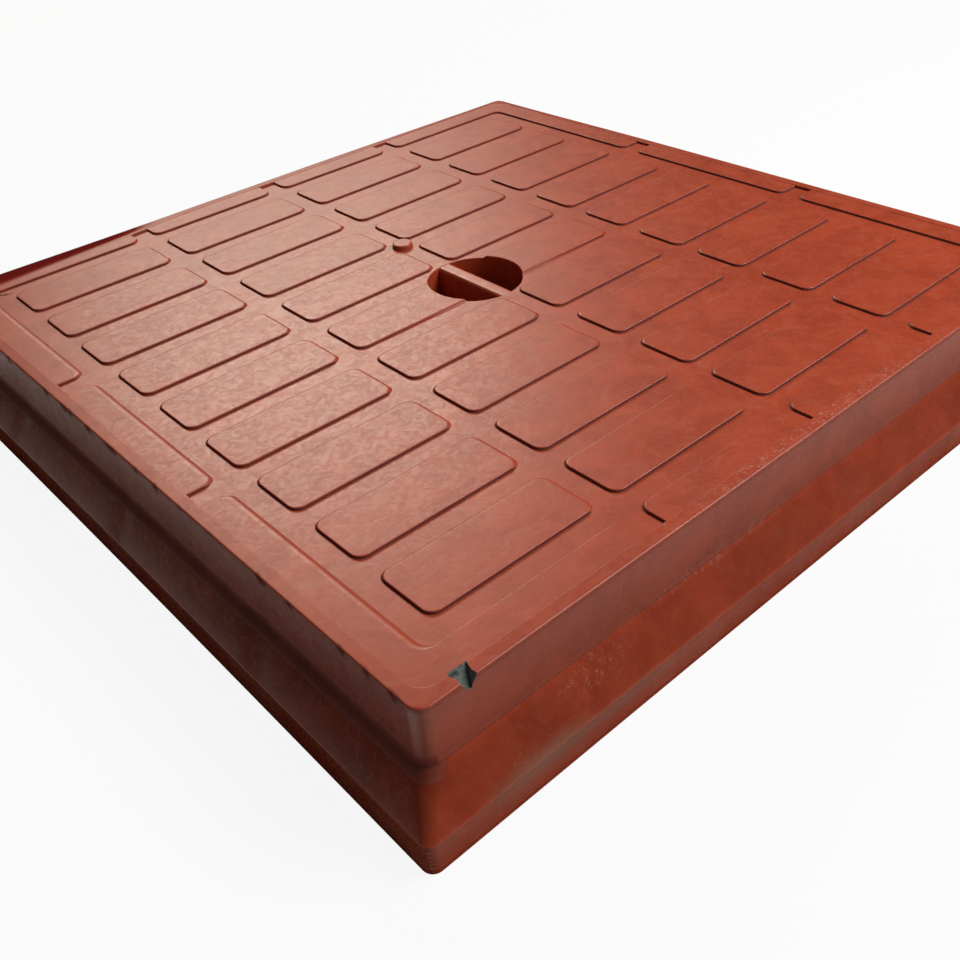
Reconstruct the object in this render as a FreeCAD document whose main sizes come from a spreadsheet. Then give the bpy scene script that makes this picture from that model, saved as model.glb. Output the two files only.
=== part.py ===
"""Inspection cover: a square moulded cover with a brick tread, a stepped skirt and a split lifting hole.

The cover is one moulding. Its origin is at the middle of the base, +Z is up, and the bricks lie along X.
All lengths are in millimetres.
"""
import FreeCAD, Part
import os

import Sketcher
from FreeCAD import Vector

# Driving sizes: name, value, meaning
SIZES = (
    ("overall_height", 61.2, "base to the tops of the bricks"),
    ("waist_height", 34.0, "base to the foot of the upright wall"),
    ("lip_height", 15.0, "upright lip round the base"),
    ("flare_out", 11.0, "how far the lip stands out from the wall, each side"),
    ("top_corner", 6.0, "plan radius of the wall's corners"),
    ("base_corner", 4.5, "plan radius of the lip's corners"),
    ("waist_round", 4.0, "hollow fillet where the wall meets the flare"),
    ("lip_round", 1.5, "round between flare and lip"),
    ("wall", 8.0, "skirt thickness, measured level"),
    ("plate", 8.0, "plate thickness under the channels"),
    ("brick_length", 80.0, "raised brick, along X"),
    ("brick_width", 30.0, "raised brick, along Y"),
    ("brick_corner", 5.0, "plan radius of bricks and bars"),
    ("brick_columns", 4, "bricks along X"),
    ("brick_rows", 9, "bricks along Y"),
    ("channel", 10.0, "sunk channel between bricks"),
    ("tread_height", 1.2, "brick tops above the channels"),
    ("tread_draft", 10.0, "draft of the brick sides, degrees"),
    ("border", 13.5, "raised bars beside the rim"),
    ("bar_rows", 3, "brick rows that one border bar spans"),
    ("bar_lap", 1.0, "how far the border bars run into the rim"),
    ("rim_width", 6.0, "sloping rim round the top"),
    ("rim_step", 0.3, "rim crest above the brick tops"),
    ("rim_fall", 0.4, "slope of the rim, crest to outer edge"),
    ("rim_round", 0.6, "round of the rim's outer edge"),
    ("rim_lift", 1.4, "how far the warped end of the rim stands above the bricks"),
    ("rim_lift_lap", 5.0, "how far the warped rim's foot runs over the border bar"),
    ("rim_lift_crest", 1.2, "width of the warped rim's crest, and its step in from the wall"),
    ("hole", 49.0, "lifting hole, diameter"),
    ("collar_wall", 6.0, "collar round the lifting hole"),
    ("collar_depth", 26.0, "collar, from the channels down"),
    ("bar_width", 8.5, "grip bar across the lifting hole"),
    ("bar_depth", 16.0, "grip bar, top to bottom"),
    ("bar_sink", 0.3, "grip bar's top below the channels"),
    ("rib", 8.0, "thickness of the two ribs that cross at the collar"),
    ("rib_depth", 18.0, "ribs, from the plate down"),
    ("gusset", 6.0, "thickness of the gussets behind the skirt"),
    ("gusset_reach", 32.0, "gussets, from the skirt inwards"),
    ("gusset_pitch", 110.0, "gusset spacing along a side"),
    ("gussets", 3, "gussets on each side"),
    ("nub", 12.0, "round nub in the middle channel, diameter"),
    ("nub_height", 2.6, "nub above the channels"),
    ("nub_bevel", 0.8, "bevel of the nub's top edge"),
    ("nub_rows", 1.5, "brick rows from the lifting hole to the nub"),
    ("chip_place", 20.5, "chip in the rim, from the corner of the wall to its middle"),
    ("chip_mouth", 8.5, "chip, length at the rim's two edges"),
    ("chip_neck", 6.0, "chip, length at its narrow middle"),
    ("chip_skew", 0.3, "lean of the chip, inner edge to outer edge"),
    ("chip_bite", 0.8, "how far the chip runs in past the rim's crest"),
    ("chip_depth", 5.2, "chip, from the rim's crest down"),
    ("chip_slope", 0.25, "slope of the chip's two ends, across per depth"),
    ("chip_lean", 1.2, "slope of the broken face, outwards per depth"),
)

# How far a cut runs past the outside, the slack of a comparison, and the share of a corner's radius
# by which the middle of its arc stands in from the corner's two sides
OUTSIDE = 2.0
SAME = 1e-4
CORNER_SAG = 0.3


class Size:
    """A length together with the sheet formula that gives it."""

    def __init__(self, value, formula):
        self.value = float(value)
        self.formula = formula

    @staticmethod
    def of(other):
        return other if isinstance(other, Size) else Size(other, repr(other))

    def __add__(self, other):
        other = Size.of(other)
        return Size(self.value + other.value, f"({self.formula} + {other.formula})")

    def __sub__(self, other):
        other = Size.of(other)
        return Size(self.value - other.value, f"({self.formula} - {other.formula})")

    def __mul__(self, other):
        other = Size.of(other)
        return Size(self.value * other.value, f"({self.formula} * {other.formula})")

    def __truediv__(self, other):
        other = Size.of(other)
        return Size(self.value / other.value, f"({self.formula} / {other.formula})")

    def __neg__(self):
        return Size(-self.value, f"(0 - {self.formula})")


class Sheet:
    """The spreadsheet of driving sizes; each size is an attribute by its alias."""

    def __init__(self, doc):
        page = doc.addObject("Spreadsheet::Sheet", "Dims")
        for row, (name, value, meaning) in enumerate(SIZES, start=1):
            page.set(f"A{row}", meaning)
            page.set(f"B{row}", str(value))
            page.setAlias(f"B{row}", name)
            setattr(self, name, Size(value, f"Dims.{name}"))
        doc.recompute()


# Sketch helpers

def new_sketch(body, name, plane, level):
    """A sketch on one of the body's own planes, moved along that plane's normal to a level."""
    sketch = body.newObject("Sketcher::SketchObject", name)
    support = [item for item in body.Origin.OriginFeatures if item.Role == plane][0]
    sketch.AttachmentSupport = [(support, "")]
    sketch.MapMode = "FlatFace"
    sketch.setExpression(".AttachmentOffset.Base.z", Size.of(level).formula)
    return sketch


def bind(sketch, constraint, size):
    """Adds a constraint that takes its value from the sheet."""
    index = sketch.addConstraint(constraint)
    sketch.setExpression(f"Constraints[{index}]", size.formula)


def draw_polygon(sketch, points):
    """Draws a closed polygon with each corner held at its x and y."""
    count = len(points)
    spots = [Vector(x.value, y.value, 0) for x, y in points]
    for start in range(count):
        sketch.addGeometry(Part.LineSegment(spots[start], spots[(start + 1) % count]))
    for line in range(count):
        sketch.addConstraint(Sketcher.Constraint("Coincident", line - 1 if line else count - 1, 2, line, 1))
        x, y = points[line]
        bind(sketch, Sketcher.Constraint("DistanceX", line, 1, x.value), x)
        bind(sketch, Sketcher.Constraint("DistanceY", line, 1, y.value), y)


def draw_outline(sketch, corners):
    """Draws a closed outline of level and upright lines, anticlockwise.

    Each corner is x, y and a radius, or None where the corner is sharp.
    """
    count = len(corners)
    spots = [Vector(x.value, y.value, 0) for x, y, _ in corners]
    ways = [(spots[(i + 1) % count] - spots[i]).normalize() for i in range(count)]
    radii = [radius.value if radius else 0.0 for _, _, radius in corners]
    for i in range(count):
        after = (i + 1) % count
        start = spots[i] + ways[i] * radii[i]
        end = spots[after] - ways[i] * radii[after]
        sketch.addGeometry(Part.LineSegment(start, end))
        level = abs(ways[i].y) < SAME
        sketch.addConstraint(Sketcher.Constraint("Horizontal" if level else "Vertical", i))
        x, y, _ = corners[i]
        if level:
            bind(sketch, Sketcher.Constraint("DistanceY", i, 1, y.value), y)
        else:
            bind(sketch, Sketcher.Constraint("DistanceX", i, 1, x.value), x)
    for i in range(count):
        before = (i - 1) % count
        radius = corners[i][2]
        if radius is None:
            sketch.addConstraint(Sketcher.Constraint("Coincident", before, 2, i, 1))
            continue
        left_turn = ways[before].cross(ways[i]).z > 0
        first, last = spots[i] - ways[before] * radii[i], spots[i] + ways[i] * radii[i]
        centre = first + ways[i] * radii[i]
        near = (spots[i] - centre).normalize() * radii[i]
        arc = Part.Arc(first, centre + near, last) if left_turn else Part.Arc(last, centre + near, first)
        index = sketch.addGeometry(arc)
        sketch.addConstraint(Sketcher.Constraint("Tangent", before, 2, index, 1 if left_turn else 2))
        sketch.addConstraint(Sketcher.Constraint("Tangent", i, 1, index, 2 if left_turn else 1))
        bind(sketch, Sketcher.Constraint("Radius", index, radius.value), radius)


def draw_box(sketch, half_x, half_y, radius=None, x=Size(0, "0"), y=Size(0, "0")):
    """Draws a rectangle about a middle point, with all its corners alike."""
    draw_outline(sketch, [
        (x - half_x, y - half_y, radius),
        (x + half_x, y - half_y, radius),
        (x + half_x, y + half_y, radius),
        (x - half_x, y + half_y, radius),
    ])


def draw_circle(sketch, diameter, y=Size(0, "0")):
    """Draws a circle on the sketch's own Y axis."""
    circle = sketch.addGeometry(Part.Circle(Vector(0, y.value, 0), Vector(0, 0, 1), diameter.value / 2))
    bind(sketch, Sketcher.Constraint("DistanceX", circle, 3, 0.0), Size(0, "0"))
    bind(sketch, Sketcher.Constraint("DistanceY", circle, 3, y.value), y)
    bind(sketch, Sketcher.Constraint("Diameter", circle, diameter.value), diameter)


# Feature helpers

def extrude(body, kind, name, sketch, length, reverse=False, draft=None, both_sides=False):
    """A pad or a pocket of a sketch; the draft narrows it as it goes."""
    feature = body.newObject(f"PartDesign::{kind}", name)
    feature.Profile = sketch
    feature.Reversed = reverse
    feature.SideType = "Symmetric" if both_sides else "One side"
    feature.setExpression("Length", length.formula)
    if draft:
        feature.setExpression("TaperAngle", (-draft).formula)
    return feature


def loft(body, kind, name, first, last):
    """A loft between two sketches."""
    feature = body.newObject(f"PartDesign::{kind}", name)
    feature.Profile = first
    feature.Sections = [last]
    feature.Ruled = True
    return feature


def axis_of(body, role):
    """One of the body's own axes or planes, as a feature takes it."""
    return ([item for item in body.Origin.OriginFeatures if item.Role == role][0], [""])


def row_of(body, name, role, pitch, count):
    """A row of copies along one of the body's axes."""
    pattern = body.newObject("PartDesign::LinearPattern", name)
    pattern.Direction = axis_of(body, role)
    pattern.setExpression("Length", (pitch * (count - 1)).formula)
    pattern.setExpression("Occurrences", count.formula)
    return pattern


def mirror_of(body, name, role):
    """A mirror image in one of the body's planes."""
    mirror = body.newObject("PartDesign::Mirrored", name)
    mirror.MirrorPlane = axis_of(body, role)
    return mirror


def repeat(body, name, originals, steps):
    """Repeats features by one pattern after another."""
    pattern = body.newObject("PartDesign::MultiTransform", name)
    pattern.Originals = originals
    pattern.Transformations = steps
    body.Tip = pattern
    return pattern


def edges_where(shape, test):
    """Names of the edges whose middle passes a test."""
    names = []
    for number, edge in enumerate(shape.Edges, start=1):
        middle = edge.valueAt((edge.FirstParameter + edge.LastParameter) / 2)
        if test(middle):
            names.append(f"Edge{number}")
    return names


def ease_edges(doc, body, kind, name, size, test):
    """A fillet or a chamfer on the edges of the body so far that pass a test."""
    doc.recompute()
    base = body.Tip
    feature = body.newObject(f"PartDesign::{kind}", name)
    feature.Base = (base, edges_where(base.Shape, test))
    feature.setExpression("Radius" if kind == "Fillet" else "Size", size.formula)
    doc.recompute()
    return feature


class Cover:
    """The cover's body, built up feature by feature from the sheet."""

    def __init__(self, doc, sheet):
        self.doc = doc
        self.s = sheet
        self.body = doc.addObject("PartDesign::Body", "inspection_cover")
        s = sheet
        # Levels above the base
        self.floor = s.overall_height - s.tread_height
        self.under = self.floor - s.plate
        self.rim_crest = s.overall_height + s.rim_step
        self.rim_edge = self.rim_crest - s.rim_fall
        # Half sizes in plan, from the middle outwards
        self.pitch_x = s.brick_length + s.channel
        self.pitch_y = s.brick_width + s.channel
        self.field_x = (s.brick_columns * self.pitch_x - s.channel) / 2
        self.field_y = (s.brick_rows * self.pitch_y - s.channel) / 2
        self.bar_x = self.field_x + s.channel
        self.bar_y = self.field_y + s.channel
        self.crest_x = self.bar_x + s.border
        self.crest_y = self.bar_y + s.border
        self.top_x = self.crest_x + s.rim_width
        self.top_y = self.crest_y + s.rim_width
        self.base_x = self.top_x + s.flare_out
        self.base_y = self.top_y + s.flare_out

    def sketch(self, name, level, plane="XY_Plane"):
        return new_sketch(self.body, name, plane, level)

    def box(self, name, level, half_x, half_y, radius=None):
        """A sketch of a rectangle about the middle."""
        sketch = self.sketch(name, level)
        draw_box(sketch, half_x, half_y, radius)
        return sketch

    def raised(self, name, sketch):
        """A raised piece of tread on the channel floor, drafted on all sides."""
        return extrude(self.body, "Pad", name, sketch, self.s.tread_height, draft=self.s.tread_draft)

    def build_outside(self):
        """The lip, the flare, the upright wall and the sloping rim, as one solid block."""
        s, body = self.s, self.body
        lip = self.box("LipOutline", 0, self.base_x, self.base_y, s.base_corner)
        extrude(body, "Pad", "Lip", lip, s.lip_height)
        foot = self.box("FlareFoot", s.lip_height, self.base_x, self.base_y, s.base_corner)
        head = self.box("FlareHead", s.waist_height, self.top_x, self.top_y, s.top_corner)
        loft(body, "AdditiveLoft", "Flare", foot, head)
        wall = self.box("WallOutline", s.waist_height, self.top_x, self.top_y, s.top_corner)
        extrude(body, "Pad", "Wall", wall, self.rim_edge - s.waist_height)
        edge = self.box("RimEdge", self.rim_edge, self.top_x, self.top_y, s.top_corner)
        crest = self.box("RimCrest", self.rim_crest, self.crest_x, self.crest_y, s.brick_corner)
        loft(body, "AdditiveLoft", "Rim", edge, crest)
        well = self.box("ChannelFloor", self.rim_crest, self.crest_x, self.crest_y, s.brick_corner)
        extrude(body, "Pocket", "Channels", well, self.rim_crest - self.floor)

    def build_inside(self):
        """The hollow under the plate, open below and as thick all round as the wall."""
        s, body = self.s, self.body
        in_x, in_y = self.top_x - s.wall, self.top_y - s.wall
        low_x, low_y = self.base_x - s.wall, self.base_y - s.wall
        mouth = self.box("LipInside", 0, low_x, low_y, s.base_corner)
        extrude(body, "Pocket", "LipHollow", mouth, s.lip_height, reverse=True)
        foot = self.box("FlareInsideFoot", s.lip_height, low_x, low_y, s.base_corner)
        head = self.box("FlareInsideHead", s.waist_height, in_x, in_y, s.top_corner)
        loft(body, "SubtractiveLoft", "FlareHollow", foot, head)
        upper = self.box("WallInside", s.waist_height, in_x, in_y, s.top_corner)
        extrude(body, "Pocket", "WallHollow", upper, self.under - s.waist_height, reverse=True)

    def build_ribs(self):
        """The two ribs that cross under the plate, the collar, and the gussets behind the skirt."""
        s, body = self.s, self.body
        mid_x, mid_y = self.top_x - s.wall / 2, self.top_y - s.wall / 2
        for name, half_x, half_y in (("RibAlongX", mid_x, s.rib / 2), ("RibAlongY", s.rib / 2, mid_y)):
            line = self.box(f"{name}Outline", self.under, half_x, half_y)
            extrude(body, "Pad", name, line, s.rib_depth, reverse=True)
        ring = self.sketch("CollarOutline", self.floor - s.collar_depth)
        draw_circle(ring, s.hole + s.collar_wall * 2)
        extrude(body, "Pad", "Collar", ring, s.collar_depth - s.plate)
        self.add_gussets("X", "XZ_Plane", "YZ_Plane", "Y_Axis", mid_x, True)
        self.add_gussets("Y", "YZ_Plane", "XZ_Plane", "X_Axis", mid_y, False)

    def add_gussets(self, name, plane, mirror, way, mid, flip):
        """A row of gussets behind one pair of sides; they run down the middle of the skirt's thickness."""
        s = self.s
        spread = s.gusset_pitch * (s.gussets - 1) / 2
        sketch = self.sketch(f"Gusset{name}Outline", spread if flip else -spread, plane)
        draw_polygon(sketch, [
            (mid + s.flare_out, s.lip_height),
            (mid, s.waist_height),
            (mid, self.under),
            (mid - s.gusset_reach, self.under),
        ])
        gusset = extrude(self.body, "Pad", f"Gusset{name}", sketch, s.gusset, both_sides=True)
        steps = [
            row_of(self.body, f"Gusset{name}Row", way, s.gusset_pitch, s.gussets),
            mirror_of(self.body, f"Gusset{name}Far", mirror),
        ]
        repeat(self.body, f"Gussets{name}", [gusset], steps)

    def build_bricks(self):
        """The field of bricks, rows by columns."""
        s, body = self.s, self.body
        sketch = self.sketch("BrickOutline", self.floor)
        first_x = s.brick_length / 2 - self.field_x
        first_y = s.brick_width / 2 - self.field_y
        draw_box(sketch, s.brick_length / 2, s.brick_width / 2, s.brick_corner, first_x, first_y)
        brick = self.raised("Brick", sketch)
        steps = [
            row_of(body, "BrickColumns", "X_Axis", self.pitch_x, s.brick_columns),
            row_of(body, "BrickRows", "Y_Axis", self.pitch_y, s.brick_rows),
        ]
        repeat(body, "Bricks", [brick], steps)

    def build_border(self):
        """The bars beside the rim: a corner piece, half bricks and long bars, mirrored to the other sides."""
        s, body = self.s, self.body
        out_x, out_y = self.crest_x + s.bar_lap, self.crest_y + s.bar_lap
        bar_length = s.bar_rows * self.pitch_y - s.channel
        turn = s.brick_corner
        corner = self.sketch("CornerBarOutline", self.floor)
        end_x, end_y = s.brick_length - self.field_x, bar_length - self.field_y
        draw_outline(corner, [
            (-out_x, -out_y, turn + s.bar_lap),
            (end_x, -out_y, None),
            (end_x, -self.bar_y, turn),
            (-self.bar_x, -self.bar_y, turn),
            (-self.bar_x, end_y, turn),
            (-out_x, end_y, None),
        ])
        corner_bar = self.raised("CornerBar", corner)
        across = mirror_of(body, "CornerBarRight", "YZ_Plane")
        along = mirror_of(body, "CornerBarFar", "XZ_Plane")
        repeat(body, "CornerBars", [corner_bar], [across, along])
        half = self.sketch("HalfBrickOutline", self.floor)
        half_start = end_x + s.channel
        draw_outline(half, [
            (half_start, -out_y, None),
            (half_start + s.brick_length, -out_y, None),
            (half_start + s.brick_length, -self.bar_y, turn),
            (half_start, -self.bar_y, turn),
        ])
        half_brick = self.raised("HalfBrick", half)
        halves = row_of(body, "HalfBrickRow", "X_Axis", self.pitch_x, s.brick_columns - 2)
        repeat(body, "HalfBricks", [half_brick], [halves, mirror_of(body, "HalfBrickFar", "XZ_Plane")])
        side = self.sketch("SideBarOutline", self.floor)
        side_start = end_y + s.channel
        draw_outline(side, [
            (-out_x, side_start, None),
            (-self.bar_x, side_start, turn),
            (-self.bar_x, side_start + bar_length, turn),
            (-out_x, side_start + bar_length, None),
        ])
        side_bar = self.raised("SideBar", side)
        bars = row_of(body, "SideBarRow", "Y_Axis", bar_length + s.channel, s.brick_rows / s.bar_rows - 2)
        repeat(body, "SideBars", [side_bar], [bars, mirror_of(body, "SideBarRight", "YZ_Plane")])

    def build_nub(self):
        """The round nub in the middle channel, with a bevelled top edge."""
        s = self.s
        sketch = self.sketch("NubOutline", self.floor)
        draw_circle(sketch, s.nub, self.pitch_y * s.nub_rows)
        extrude(self.body, "Pad", "Nub", sketch, s.nub_height)
        top, near = (self.floor + s.nub_height).value, (self.pitch_y * s.nub_rows + s.nub).value
        ease_edges(self.doc, self.body, "Chamfer", "NubBevel", s.nub_bevel,
                   lambda middle: abs(middle.z - top) < SAME and abs(middle.y) < near)

    def build_hole(self):
        """The lifting hole through plate and collar, and the grip bar across it."""
        s, body = self.s, self.body
        sketch = self.sketch("HoleOutline", s.overall_height)
        draw_circle(sketch, s.hole)
        extrude(body, "Pocket", "Hole", sketch, s.tread_height + s.collar_depth)
        reach = (s.hole + s.collar_wall) / 2
        bar = self.box("GripBarOutline", self.floor - s.bar_sink, s.bar_width / 2, reach)
        extrude(body, "Pad", "GripBar", bar, s.bar_depth, reverse=True)

    def ease_outside(self):
        """The hollow fillet at the waist and the rounds of the lip and of the rim's outer edge."""
        s = self.s
        wall_x, wall_y = self.top_x.value, self.top_y.value
        sag = s.top_corner.value * CORNER_SAG + SAME

        def on_wall(level):
            return lambda middle: (abs(middle.z - level.value) < SAME
                                   and max(abs(middle.x) - wall_x, abs(middle.y) - wall_y) > -sag)

        for name, radius, level in (
            ("WaistRound", s.waist_round, s.waist_height),
            ("LipRound", s.lip_round, s.lip_height),
            ("RimRound", s.rim_round, self.rim_edge),
        ):
            ease_edges(self.doc, self.body, "Fillet", name, radius, on_wall(level))

    def build_warp(self):
        """The end of the far rim that stands proud, highest at the corner and gone after one brick."""
        s = self.s
        outer = self.top_y - s.rim_lift_crest
        foot = self.crest_y - s.rim_lift_lap
        ends = (
            (-self.crest_x, s.overall_height + s.rim_lift),
            (s.brick_length - self.field_x, self.rim_edge),
        )
        sections = []
        for number, (x, crest) in enumerate(ends, start=1):
            sketch = self.sketch(f"WarpSection{number}", x, "YZ_Plane")
            draw_polygon(sketch, [
                (foot, self.rim_edge - s.rim_fall),
                (outer, self.rim_edge - s.rim_fall),
                (outer, crest),
                (outer - s.rim_lift_crest, crest),
            ])
            sections.append(sketch)
        loft(self.body, "AdditiveLoft", "WarpedRim", *sections)

    def build_chip(self):
        """The chip broken off the near rim, wide at the rim's edges and narrow in its middle."""
        s = self.s
        middle = s.chip_place - self.top_x
        outer = -(self.top_y + OUTSIDE)
        sections = []
        mouth_level, floor_level = self.rim_crest + OUTSIDE, self.rim_crest - s.chip_depth
        for name, level in (("ChipMouth", mouth_level), ("ChipFloor", floor_level)):
            above = level - self.rim_crest
            mouth = s.chip_mouth / 2 + above * s.chip_slope
            neck = s.chip_neck / 2 + above * s.chip_slope
            inner = s.chip_bite - self.crest_y + above * s.chip_lean
            neck_y = (inner + outer) / 2
            sketch = self.sketch(name, level)
            draw_polygon(sketch, [
                (middle - mouth - s.chip_skew, outer),
                (middle + mouth - s.chip_skew, outer),
                (middle + neck, neck_y),
                (middle + mouth + s.chip_skew, inner),
                (middle - mouth + s.chip_skew, inner),
                (middle - neck, neck_y),
            ])
            sections.append(sketch)
        loft(self.body, "SubtractiveLoft", "Chip", *sections)

    def build(self):
        self.build_outside()
        self.ease_outside()
        self.build_inside()
        self.build_ribs()
        self.build_nub()
        self.build_border()
        self.build_bricks()
        self.build_hole()
        self.build_warp()
        self.build_chip()
        self.doc.recompute()
        return self.body


def check(doc, body):
    """Stops with a message if a feature failed or the solid is not whole."""
    failed = [item.Name for item in doc.Objects if {"Invalid", "Error"} & set(item.State)]
    if failed:
        raise RuntimeError(f"features that failed: {failed}")
    shape = body.Shape
    if shape.isNull() or not shape.isValid() or len(shape.Solids) != 1:
        raise RuntimeError("the cover is not one valid solid")


def main():
    doc = FreeCAD.newDocument("InspectionCover")
    body = Cover(doc, Sheet(doc)).build()
    check(doc, body)
    os.makedirs("parts", exist_ok=True)
    body.Shape.exportStep(f"parts/{body.Label}.step")
    box, litres = body.Shape.BoundBox, body.Shape.Volume / 1e6
    print(f"{body.Label}: {box.XLength:.1f} x {box.YLength:.1f} x {box.ZLength:.1f} mm, {litres:.3f} l")


main()
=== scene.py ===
"""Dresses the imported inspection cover: a terracotta moulding with a brick tread, a stepped skirt and wear.

The part's frame is used as it is: the origin is at the middle of the base, +Z is up and the bricks lie
along X. Sizes are written in millimetres and turned into metres when a mesh is made.
"""
import logging
import math
from dataclasses import dataclass
from enum import Enum
from typing import Callable, Iterable, Sequence

import bmesh
import bpy
from mathutils import Matrix, Vector, noise


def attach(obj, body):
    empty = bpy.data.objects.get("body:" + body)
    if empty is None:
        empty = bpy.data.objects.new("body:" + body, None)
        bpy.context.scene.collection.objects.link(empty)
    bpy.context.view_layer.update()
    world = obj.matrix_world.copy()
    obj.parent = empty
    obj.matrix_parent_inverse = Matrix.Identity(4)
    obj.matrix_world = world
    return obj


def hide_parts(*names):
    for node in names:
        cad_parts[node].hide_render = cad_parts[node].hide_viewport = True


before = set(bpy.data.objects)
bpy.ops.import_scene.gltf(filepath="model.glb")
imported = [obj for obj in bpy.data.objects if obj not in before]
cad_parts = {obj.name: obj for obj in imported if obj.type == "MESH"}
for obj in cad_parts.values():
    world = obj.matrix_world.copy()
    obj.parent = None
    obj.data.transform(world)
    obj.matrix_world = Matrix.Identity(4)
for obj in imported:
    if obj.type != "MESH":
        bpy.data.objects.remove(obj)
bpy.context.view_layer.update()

LOG = logging.getLogger("inspection_cover")
MM = 0.001
BODY = "root"
NODE = "inspection_cover"
NOISE_SEED = 7
SHARP_TURN = 35.0
NORMAL_WEIGHT = 80

# How far a corner has to look to -X and -Y for painted shade to start and to be full, on outer and on inner
# corners
OUTER_SHADED_SIDE = (0.3, 0.9)
INNER_SHADED_SIDE = (0.75, 0.98)

# The middle of a noise's range, and the reach over which a patch fades
NOISE_MIDDLE = 0.5
PATCH_FADE = (0.75, 1.5)

Point = tuple[float, float, float]
Plan = tuple[float, float]
Colour = tuple[float, float, float]


class Mark(Enum):
    """Per-point values that the finish reads."""

    WEAR = "edge_wear"
    CREVICE = "crevice"
    SHADE = "shade"


class Way(Enum):
    """The two level directions of the cover."""

    ALONG = "x"
    ACROSS = "y"


def smooth_step(low: float, high: float, value: float) -> float:
    """Rises from 0 at low to 1 at high with level ends.

    Args:
        low: The value at which the rise starts.
        high: The value at which the rise ends.
        value: The value to look up.

    Returns:
        A share from 0 to 1.
    """
    share = min(max((value - low) / (high - low), 0.0), 1.0)
    return share * share * (3.0 - 2.0 * share)


def bell(value: float, width: float) -> float:
    """A smooth bump of height 1 at zero that is nearly gone at twice the width."""
    return math.exp(-((value / width) ** 2))


@dataclass(frozen=True)
class Turn:
    """A corner of a section or an outline.

    Args:
        across: First coordinate, in millimetres.
        up: Second coordinate, in millimetres.
        radius: Radius of the corner, 0 where it is sharp.
        steps: Facets in the rounded corner.
        wear: How far the corner is rubbed pale, 0 to 1.
        crevice: How far painted shade, with some dirt, darkens the corner, 0 to 1.
    """

    across: float
    up: float
    radius: float = 0.0
    steps: int = 1
    wear: float = 0.0
    crevice: float = 0.0


@dataclass(frozen=True)
class Spot:
    """A point of a section with the marks that it carries."""

    across: float
    up: float
    wear: float = 0.0
    crevice: float = 0.0


def rounded_section(turns: Sequence[Turn]) -> list[Spot]:
    """Rounds the corners of an open section.

    Args:
        turns: The section's corners; the first and last stay sharp.

    Returns:
        The points along the section, with arcs in place of the rounded corners.
    """
    spots: list[Spot] = []
    for index, turn in enumerate(turns):
        here = Vector((turn.across, turn.up))
        if turn.radius <= 0.0 or index in (0, len(turns) - 1):
            spots.append(Spot(turn.across, turn.up, turn.wear, turn.crevice))
            continue
        before, after = turns[index - 1], turns[index + 1]
        back = (Vector((before.across, before.up)) - here).normalized()
        ahead = (Vector((after.across, after.up)) - here).normalized()
        opening = back.angle(ahead)
        reach = turn.radius / math.tan(opening / 2)
        centre = here + (back + ahead).normalized() * (turn.radius / math.sin(opening / 2))
        first, last = here + back * reach - centre, here + ahead * reach - centre
        for step in range(turn.steps + 1):
            share = step / turn.steps
            arm = (first * (1 - share) + last * share).normalized() * turn.radius
            fade = 1.0 - abs(2.0 * share - 1.0) ** 2
            spot = centre + arm
            spots.append(Spot(spot.x, spot.y, turn.wear * fade, turn.crevice * fade))
    return spots


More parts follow.
